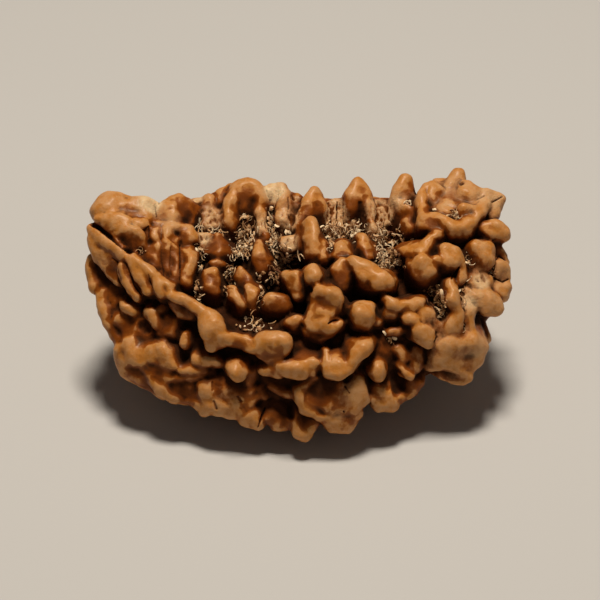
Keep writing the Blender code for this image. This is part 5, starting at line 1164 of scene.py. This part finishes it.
# Colours of the shell, from the painted shade at the bottom of a crease to the rubbed and painted-light top
# of a knob, and of its marks and its worn places
PITCH = (0.040, 0.010, 0.003)
UMBER = (0.075, 0.016, 0.002)
CHESTNUT = (0.15, 0.031, 0.002)
AMBER = (0.25, 0.062, 0.004)
OCHRE = (0.47, 0.18, 0.032)
MARK_DIRT_AND_SHADE = (0.030, 0.006, 0.002)
TAN = (0.56, 0.30, 0.13)
CREAM = (0.74, 0.52, 0.29)

# The shell's grain, in grains to the metre, what most of a grain's values lie between, and how deep it looks
CLOUD_GRAINS = 450.0
MOTTLE_GRAINS = 1700.0
SPECKLE_GRAINS = 7000.0
WORN_GRAINS = 4500.0
GRAIN_RANGE = (0.3, 0.7)
SHELL_RELIEF = 0.00014

amber = bpy.data.materials.new("amber_brown_shell")
amber.use_nodes = True
tree = amber.node_tree
surface = tree.nodes["Principled BSDF"]
closed_in = measured(tree, "closed_in")
fine = measured(tree, "fine_hollow")
broad = measured(tree, "broad_hollow")
worn = measured(tree, "worn")
clouds = grain(tree, CLOUD_GRAINS, 3.0, 0.55)
mottle = grain(tree, MOTTLE_GRAINS, 4.0, 0.65)
speckle = grain(tree, SPECKLE_GRAINS, 2.0, 0.7)

# Painted light and shade: open, raised and upturned skin is painted light, as where the lamp above falls, and
# closed-in, hollow and deep skin is painted dark, as where shade falls
open_tone = spread(tree, closed_in, 0.02, 0.55, 0.7, 0.0)
raised = spread(tree, broad, 0.16, -0.18, -0.24, 0.3)
tone = sums(tree, "ADD", open_tone, raised)
tone = sums(tree, "ADD", tone, spread(tree, fine, -0.006, -0.03, 0.0, 0.2))
# Brown spots darken the skin, partly for its own brown and partly as painted shade
tone = sums(tree, "SUBTRACT", tone, spread(tree, measured(tree, "brown_and_shade"), 0.0, 1.0, 0.0, 0.45))
tone = sums(tree, "ADD", tone, spread(tree, measured(tree, "depth_inside"), 0.1, 2.0, 0.12, -0.32))
# Painted light: skin that faces up the face is painted lighter and skin that faces down darker
tone = sums(tree, "ADD", tone, spread(tree, measured(tree, "upturned"), -0.7, 0.6, -0.2, 0.1))
tone = sums(tree, "ADD", tone, spread(tree, clouds, *GRAIN_RANGE, -0.12, 0.12))
tone = sums(tree, "ADD", tone, spread(tree, mottle, *GRAIN_RANGE, -0.06, 0.06))
tone = sums(tree, "ADD", tone, sums(tree, "MULTIPLY", worn, 0.22), clamp=True)
colour = tones(tree, tone, ((0.0, PITCH), (0.2, UMBER), (0.47, CHESTNUT), (0.8, AMBER), (1.0, OCHRE)))

# Worn places are matte and pale, fading where the painted shade is deep, and the crests of the knobs are
# rubbed a little and given a pale painted highlight
worn_edge = sums(tree, "ADD", worn, spread(tree, mottle, *GRAIN_RANGE, -0.25, 0.25))
worn_mask = spread(tree, worn_edge, 0.2, 0.95)
worn_open = sums(tree, "MULTIPLY", worn_mask, spread(tree, tone, 0.1, 0.5))
worn_colour = blend(tree, spread(tree, worn, 0.6, 1.0), (*TAN, 1), (*CREAM, 1))
colour = blend(tree, worn_open, colour, worn_colour)
rubbed_and_highlit = sums(tree, "MULTIPLY", spread(tree, fine, -0.004, -0.025), spread(tree, mottle, 0.35, 0.6))
rubbed_and_highlit = sums(tree, "MULTIPLY", rubbed_and_highlit, spread(tree, tone, 0.72, 0.98, 0.0, 0.6))
colour = blend(tree, rubbed_and_highlit, colour, (*TAN, 1))

# Torn places show the pale fibres of the wall, dimmed where the skin is closed in and in the grooves between
# the fibres, as painted shade
torn_edge = sums(tree, "ADD", measured(tree, "torn"), spread(tree, mottle, *GRAIN_RANGE, -0.25, 0.25))
torn_light = spread(tree, closed_in, 0.75, 0.45, 0.35, 0.9)
torn_open = sums(tree, "MULTIPLY", spread(tree, torn_edge, 0.35, 0.7), torn_light)
torn_colour = blend(tree, spread(tree, speckle, 0.4, 0.8), (*TAN, 1), (*CREAM, 1))
torn_colour = blend(tree, spread(tree, fine, 0.0, 0.03), torn_colour, (*AMBER, 1))
colour = blend(tree, torn_open, colour, torn_colour)

# Creases and marks are darkened, partly as dirt and partly as painted shade, and a few specks are dirt
crease = spread(tree, fine, 0.012, 0.05)
colour = blend(tree, sums(tree, "MULTIPLY", crease, 0.75), colour, (*UMBER, 1), "MULTIPLY")
# Painted shade and dirt: each mark is darkened as much as it was pressed dark
mark_dirt_and_shade = sums(tree, "MULTIPLY", measured(tree, "mark_dirt_and_shade"), 1.1, clamp=True)
colour = blend(tree, mark_dirt_and_shade, colour, (*MARK_DIRT_AND_SHADE, 1))
freckle = spread(tree, speckle, 0.28, 0.2)
colour = blend(tree, sums(tree, "MULTIPLY", freckle, 0.6), colour, (*UMBER, 1))

# Crests are softly glossy, worn places and creases dull
gloss = spread(tree, mottle, *GRAIN_RANGE, 0.42, 0.54)
gloss = sums(tree, "ADD", gloss, sums(tree, "MULTIPLY", worn_open, 0.3))
gloss = sums(tree, "ADD", gloss, spread(tree, tone, 0.55, 0.15, 0.0, 0.5))
rough = sums(tree, "MULTIPLY", worn, grain(tree, WORN_GRAINS, 4.0, 0.75))
height = sums(tree, "ADD", sums(tree, "MULTIPLY", mottle, 0.7), sums(tree, "MULTIPLY", speckle, 0.3))
height = sums(tree, "ADD", height, sums(tree, "MULTIPLY", rough, 1.6))
bump = add_node(tree, "ShaderNodeBump", {"Height": height, "Strength": 0.5, "Distance": SHELL_RELIEF})
tree.links.new(colour, surface.inputs["Base Color"])
tree.links.new(gloss, surface.inputs["Roughness"])
tree.links.new(bump.outputs["Normal"], surface.inputs["Normal"])
tree.links.new(spread(tree, tone, 0.35, 0.8, 0.0, 0.15), surface.inputs["Coat Weight"])
surface.inputs["Coat Roughness"].default_value = 0.3
surface.inputs["Specular IOR Level"].default_value = 0.3
surface.inputs["Specular Tint"].default_value = (1.0, 0.68, 0.38, 1)
surface.inputs["Subsurface Weight"].default_value = 0.1
surface.inputs["Subsurface Radius"].default_value = (1.0, 0.4, 0.15)
surface.inputs["Subsurface Scale"].default_value = 0.0006
shell_mesh.materials.append(amber)
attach(shell, "root")
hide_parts("rudraksha_bead")

# The husk
# Dried pulp that is left in the furrow when the fruit is cleaned off the stone: curled threads, thin shavings
# and crumbs, lodged between the knobs and stuck to the foot of the wall.

# How the bits are scattered: from how far they fall, how sheltered they must land, and how they lie
HUSK_SEED = 11
HUSK_LOOK_FROM = 12.0
HUSK_SHELTER = 0.25
HUSK_LIFT = (-0.03, 0.16)
HUSK_SIZE = (0.7, 1.25)
HUSK_TIP = 0.5
SHADE_SPREAD = 0.28
SPOT_SPREAD = 1.5

# One number tells crumbs from threads, and this many times it tells which of them
KIND_STEPS = 997

# Each spot is (across, up, its half width, its half height, how many bits, how pale)
HUSK_SPOTS = (
    (-6.2, 3.3, 0.4, 1.3, 70, 0.7),
    (-6.5, 5.5, 0.35, 0.4, 24, 0.9),
    (-5.3, 4.3, 0.6, 0.4, 30, 0.7),
    (-3.4, 4.7, 0.5, 0.9, 90, 0.35),
    (-3.5, 3.6, 0.6, 0.5, 110, 0.75),
    (-3.9, 3.0, 0.5, 0.3, 60, 0.85),
    (-4.4, 1.4, 0.3, 0.9, 60, 0.4),
    (-1.8, 4.9, 0.3, 0.7, 36, 0.5),
    (-1.6, 3.5, 0.4, 0.7, 100, 0.8),
    (-0.9, 2.7, 0.7, 0.5, 80, 0.6),
    (-0.4, 3.7, 0.3, 0.4, 40, 0.9),
    (-1.6, 1.7, 0.6, 0.5, 70, 0.4),
    (-2.7, 0.6, 0.3, 0.8, 50, 0.6),
    (-3.0, -1.6, 1.0, 0.25, 26, 0.6),
    (-6.3, 0.6, 0.25, 0.6, 20, 0.4),
    (2.2, 4.1, 0.7, 0.45, 90, 0.75),
    (1.8, 3.6, 0.3, 0.4, 40, 0.6),
    (3.4, 4.5, 0.35, 0.4, 46, 0.95),
    (4.8, 4.0, 0.4, 0.6, 60, 0.75),
    (5.0, 3.0, 0.35, 0.7, 90, 0.8),
    (6.1, 4.2, 0.7, 1.1, 70, 0.35),
    (6.1, 5.7, 0.35, 0.2, 46, 0.95),
    (6.7, 6.3, 0.2, 0.4, 8, 0.9),
    (5.3, 2.3, 0.3, 0.3, 30, 0.8),
    (6.1, 2.8, 0.5, 0.6, 60, 0.5),
    (8.4, 0.4, 0.5, 0.5, 50, 0.3),
    (8.9, -0.6, 0.25, 0.6, 40, 0.5),
    (5.4, -2.5, 0.5, 0.3, 12, 0.6),
    (8.8, 5.9, 0.5, 0.2, 60, 0.9),
    (9.4, 5.3, 0.5, 0.2, 30, 0.6),
    (10.3, 1.0, 0.3, 0.5, 40, 0.6),
    (11.2, 0.9, 0.7, 0.4, 90, 0.7),
    (11.9, 1.6, 0.25, 0.5, 30, 0.5),
    (10.2, -0.8, 0.15, 0.7, 50, 0.6),
    (10.6, -2.0, 0.4, 0.15, 40, 0.6),
    (10.4, 2.4, 0.2, 0.3, 16, 0.8),
    (-7.3, 3.9, 0.2, 0.8, 40, 0.6),
    (-9.2, 3.9, 0.3, 0.3, 16, 0.5),
    (-9.9, 3.0, 0.3, 0.2, 10, 0.5),
)

# Fibres that hang down the wall: (across, up, its half width, its half height, how many, how pale)
FIBRE_SPOTS = (
    (2.3, 4.6, 0.6, 0.5, 8, 0.6),
    (5.0, 4.6, 0.4, 0.5, 8, 0.65),
    (-1.8, 5.7, 0.2, 0.3, 5, 0.9),
    (-1.9, 4.9, 0.2, 0.5, 5, 0.7),
    (-6.2, 4.9, 0.3, 0.5, 5, 0.7),
)

# Fibres, threads and shavings are (thickness, width, radius of the curl, turn in degrees, rise)
FIBRES = (
    (0.035, 0.05, 2.2, 22, 0.05),
    (0.04, 0.08, 3.0, 22, 0.1),
    (0.05, 0.12, 2.0, 26, 0.0),
    (0.035, 0.07, 1.2, 36, 0.1),
)
THREADS = (
    (0.045, 0.045, 0.14, 250, 0.10),
    (0.05, 0.05, 0.21, 190, 0.06),
    (0.045, 0.06, 0.18, 330, 0.16),
    (0.06, 0.06, 0.32, 120, 0.10),
    (0.05, 0.065, 0.50, 70, 0.15),
    (0.06, 0.065, 0.25, 150, 0.05),
    (0.045, 0.17, 0.20, 150, 0.04),
    (0.045, 0.22, 0.30, 90, 0.08),
    (0.05, 0.26, 0.50, 45, 0.05),
)
THREAD_STEPS = 6
THREAD_TAPER = 0.45

# Crumbs are grains of these radii
CRUMBS = (0.06, 0.09, 0.12, 0.16)
CRUMB_SQUASH = 0.6
CRUMB_ROUGHNESS = 0.35
CRUMB_SHARE = 0.35


def thread_mesh(thickness, width, curl, turn, rise):
    """A flattened thread wound part of the way round a circle, thinner at its two ends."""
    bm = bmesh.new()
    start = Matrix.Translation((curl, 0, 0)) @ Matrix.Rotation(math.radians(90), 4, "X")
    start = start @ Matrix.Diagonal((thickness, width, 1, 1)) @ Matrix.Rotation(math.radians(45), 4, "Z")
    ring = bmesh.ops.create_circle(bm, cap_ends=True, segments=4, radius=0.5, matrix=start)["verts"]
    face = ring[0].link_faces[0]
    spun = bmesh.ops.spin(bm, geom=[face], cent=(0, 0, 0), axis=(0, 0, 1), dvec=(0, 0, rise / THREAD_STEPS),
                          angle=math.radians(turn), steps=THREAD_STEPS)
    ends = [ring, [v for v in spun["geom_last"] if isinstance(v, bmesh.types.BMVert)]]
    for end in ends:
        middle = sum((v.co for v in end), Vector()) / len(end)
        bmesh.ops.scale(bm, vec=(THREAD_TAPER,) * 3, space=Matrix.Translation(-middle), verts=end)
    bmesh.ops.translate(bm, vec=(-curl, 0, 0), verts=bm.verts[:])
    bmesh.ops.recalc_face_normals(bm, faces=bm.faces[:])
    bmesh.ops.triangulate(bm, faces=bm.faces[:])
    mesh = bpy.data.meshes.new("thread")
    bm.to_mesh(mesh)
    bm.free()
    return mesh


def crumb_mesh(radius, draw):
    """A squashed, uneven grain."""
    bm = bmesh.new()
    bmesh.ops.create_icosphere(bm, subdivisions=1, radius=radius)
    for vertex in bm.verts:
        vertex.co *= draw.uniform(1 - CRUMB_ROUGHNESS, 1 + CRUMB_ROUGHNESS)
    bmesh.ops.scale(bm, vec=(1, 1, CRUMB_SQUASH), verts=bm.verts[:])
    mesh = bpy.data.meshes.new("crumb")
    bm.to_mesh(mesh)
    bm.free()
    return mesh


def husk_bits(skin, shelter):
    """Drops bits of husk on the face, and keeps those that land between the knobs."""
    draw = random.Random(HUSK_SEED)
    threads = [thread_mesh(*sizes) for sizes in THREADS]
    fibres = [thread_mesh(*sizes) for sizes in FIBRES]
    crumbs = [crumb_mesh(radius, draw) for radius in CRUMBS]
    spots = [(spot, False) for spot in HUSK_SPOTS] + [(spot, True) for spot in FIBRE_SPOTS]
    tree = BVHTree.FromPolygons([v.co for v in skin.vertices], [tuple(p.vertices) for p in skin.polygons])
    lean = Matrix.Rotation(math.radians(FACE_LEAN), 3, "X")
    down = lean @ Vector((0, 0, -1))
    bm = bmesh.new()
    tint = bm.verts.layers.float.new("tint")
    for (across, up, half_width, half_height, count, pale), hangs in spots:
        for _ in range(count):
            here = draw.gauss(across, half_width / SPOT_SPREAD)
            spot = Vector((here, draw.gauss(up, half_height / SPOT_SPREAD), HUSK_LOOK_FROM))
            roll = draw.random()
            tip = draw.gauss(0, HUSK_TIP)
            bit_pick = draw.random()
            lift = draw.uniform(*HUSK_LIFT)
            size = draw.uniform(*HUSK_SIZE)
            shade = draw.gauss(pale, SHADE_SPREAD)
            place, normal, face, _ = tree.ray_cast(lean @ spot + face_origin, down)
            if place is None:
                continue
            if not hangs and shelter[list(skin.polygons[face].vertices)].mean() < HUSK_SHELTER:
                continue
            kinds = fibres if hangs else crumbs if bit_pick < CRUMB_SHARE else threads
            bit = kinds[int(bit_pick * KIND_STEPS) % len(kinds)].copy()
            turn = Vector((0, 0, 1)).rotation_difference(normal).to_matrix().to_4x4()
            turn = turn @ Matrix.Rotation(roll * math.tau, 4, "Z") @ Matrix.Rotation(tip, 4, "X")
            if hangs:
                side = normal.cross(lean @ Vector((roll - 0.5, 1, 0))).normalized()
                turn = Matrix((side, normal.cross(side), normal)).transposed().to_4x4()
            bit.transform(Matrix.Translation(place + normal * lift) @ turn @ Matrix.Scale(size, 4))
            known = len(bm.verts)
            bm.from_mesh(bit)
            bpy.data.meshes.remove(bit)
            bm.verts.ensure_lookup_table()
            for vertex in bm.verts[known:]:
                vertex[tint] = shade
    mesh = bpy.data.meshes.new("furrow_husk")
    bm.to_mesh(mesh)
    bm.free()
    for bit in threads + fibres + crumbs:
        bpy.data.meshes.remove(bit)
    return mesh


HUSK_BROWN = (0.17, 0.055, 0.014)
HUSK_STRAW = (0.60, 0.33, 0.135)
HUSK_CREAM = (0.88, 0.68, 0.43)
HUSK_GRAINS = 3000.0
HUSK_RELIEF = 0.00008

husk_mesh = husk_bits(shell_skin, closed)
husk_mesh.transform(Matrix.Scale(METRES, 4))
husk = bpy.data.objects.new("furrow_husk", husk_mesh)
bpy.context.scene.collection.objects.link(husk)
straw = bpy.data.materials.new("dry_husk")
straw.use_nodes = True
tree = straw.node_tree
surface = tree.nodes["Principled BSDF"]
mottle = grain(tree, HUSK_GRAINS, 3.0, 0.6)
tone = sums(tree, "ADD", measured(tree, "tint"), spread(tree, mottle, *GRAIN_RANGE, -0.2, 0.2), clamp=True)
colour = tones(tree, tone, ((0.05, HUSK_BROWN), (0.5, HUSK_STRAW), (0.95, HUSK_CREAM)))
tree.links.new(colour, surface.inputs["Base Color"])
surface.inputs["Roughness"].default_value = 0.75
bump = add_node(tree, "ShaderNodeBump", {"Height": mottle, "Strength": 0.4, "Distance": HUSK_RELIEF})
tree.links.new(bump.outputs["Normal"], surface.inputs["Normal"])
husk_mesh.materials.append(straw)
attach(husk, "root")

# The floor, the lights and the camera
# A plain pale sheet, a soft lamp above, a weak one in front, and a long lens that looks straight at the face.

FLOOR_SIZE = 1.2
PAPER = (0.54, 0.53, 0.515)
SKY = (1.0, 0.95, 0.88)
SKY_STRENGTH = 0.06
floor_bm = bmesh.new()
bmesh.ops.create_grid(floor_bm, x_segments=1, y_segments=1, size=FLOOR_SIZE)
floor_mesh = bpy.data.meshes.new("floor")
floor_bm.to_mesh(floor_mesh)
floor_bm.free()
floor = bpy.data.objects.new("floor", floor_mesh)
bpy.context.scene.collection.objects.link(floor)
paper = bpy.data.materials.new("pale_paper")
paper.use_nodes = True
surface = paper.node_tree.nodes["Principled BSDF"]
surface.inputs["Base Color"].default_value = (*PAPER, 1)
surface.inputs["Roughness"].default_value = 0.9
floor_mesh.materials.append(paper)

aim = face_origin * METRES


def lamp(name, place, size, power, colour):
    """A soft square lamp that looks at the bead; place is in metres from the middle of the picture."""
    light = bpy.data.lights.new(name, "AREA")
    light.size = size
    light.energy = power
    light.color = colour
    holder = bpy.data.objects.new(name, light)
    holder.location = aim + Vector(place)
    holder.rotation_euler = (-Vector(place)).to_track_quat("-Z", "Y").to_euler()
    bpy.context.scene.collection.objects.link(holder)


lamp("key_lamp", (0.0, 0.015, 0.25), 0.05, 0.70, (1.0, 0.91, 0.79))
lamp("fill_lamp", (0.10, -0.24, 0.12), 0.20, 0.04, (1.0, 0.90, 0.78))
world = bpy.data.worlds.new("studio")
bpy.context.scene.world = world
world.use_nodes = True
sky = world.node_tree.nodes["Background"]
sky.inputs["Color"].default_value = (*SKY, 1)
sky.inputs["Strength"].default_value = SKY_STRENGTH

LENS = 200.0
SENSOR = 36.0
PICTURE_WIDTH = 37.5
distance = LENS / SENSOR * PICTURE_WIDTH
lean = math.radians(FACE_LEAN)
view = bpy.data.cameras.new("camera")
view.lens = LENS
view.sensor_width = SENSOR
view.clip_start = 0.01
camera = bpy.data.objects.new("camera", view)
camera.location = aim + Vector((0, -math.sin(lean), math.cos(lean))) * distance * METRES
camera.rotation_euler = (lean, 0, 0)
bpy.context.scene.collection.objects.link(camera)
bpy.context.scene.camera = camera
bpy.context.scene.view_settings.view_transform = "Standard"
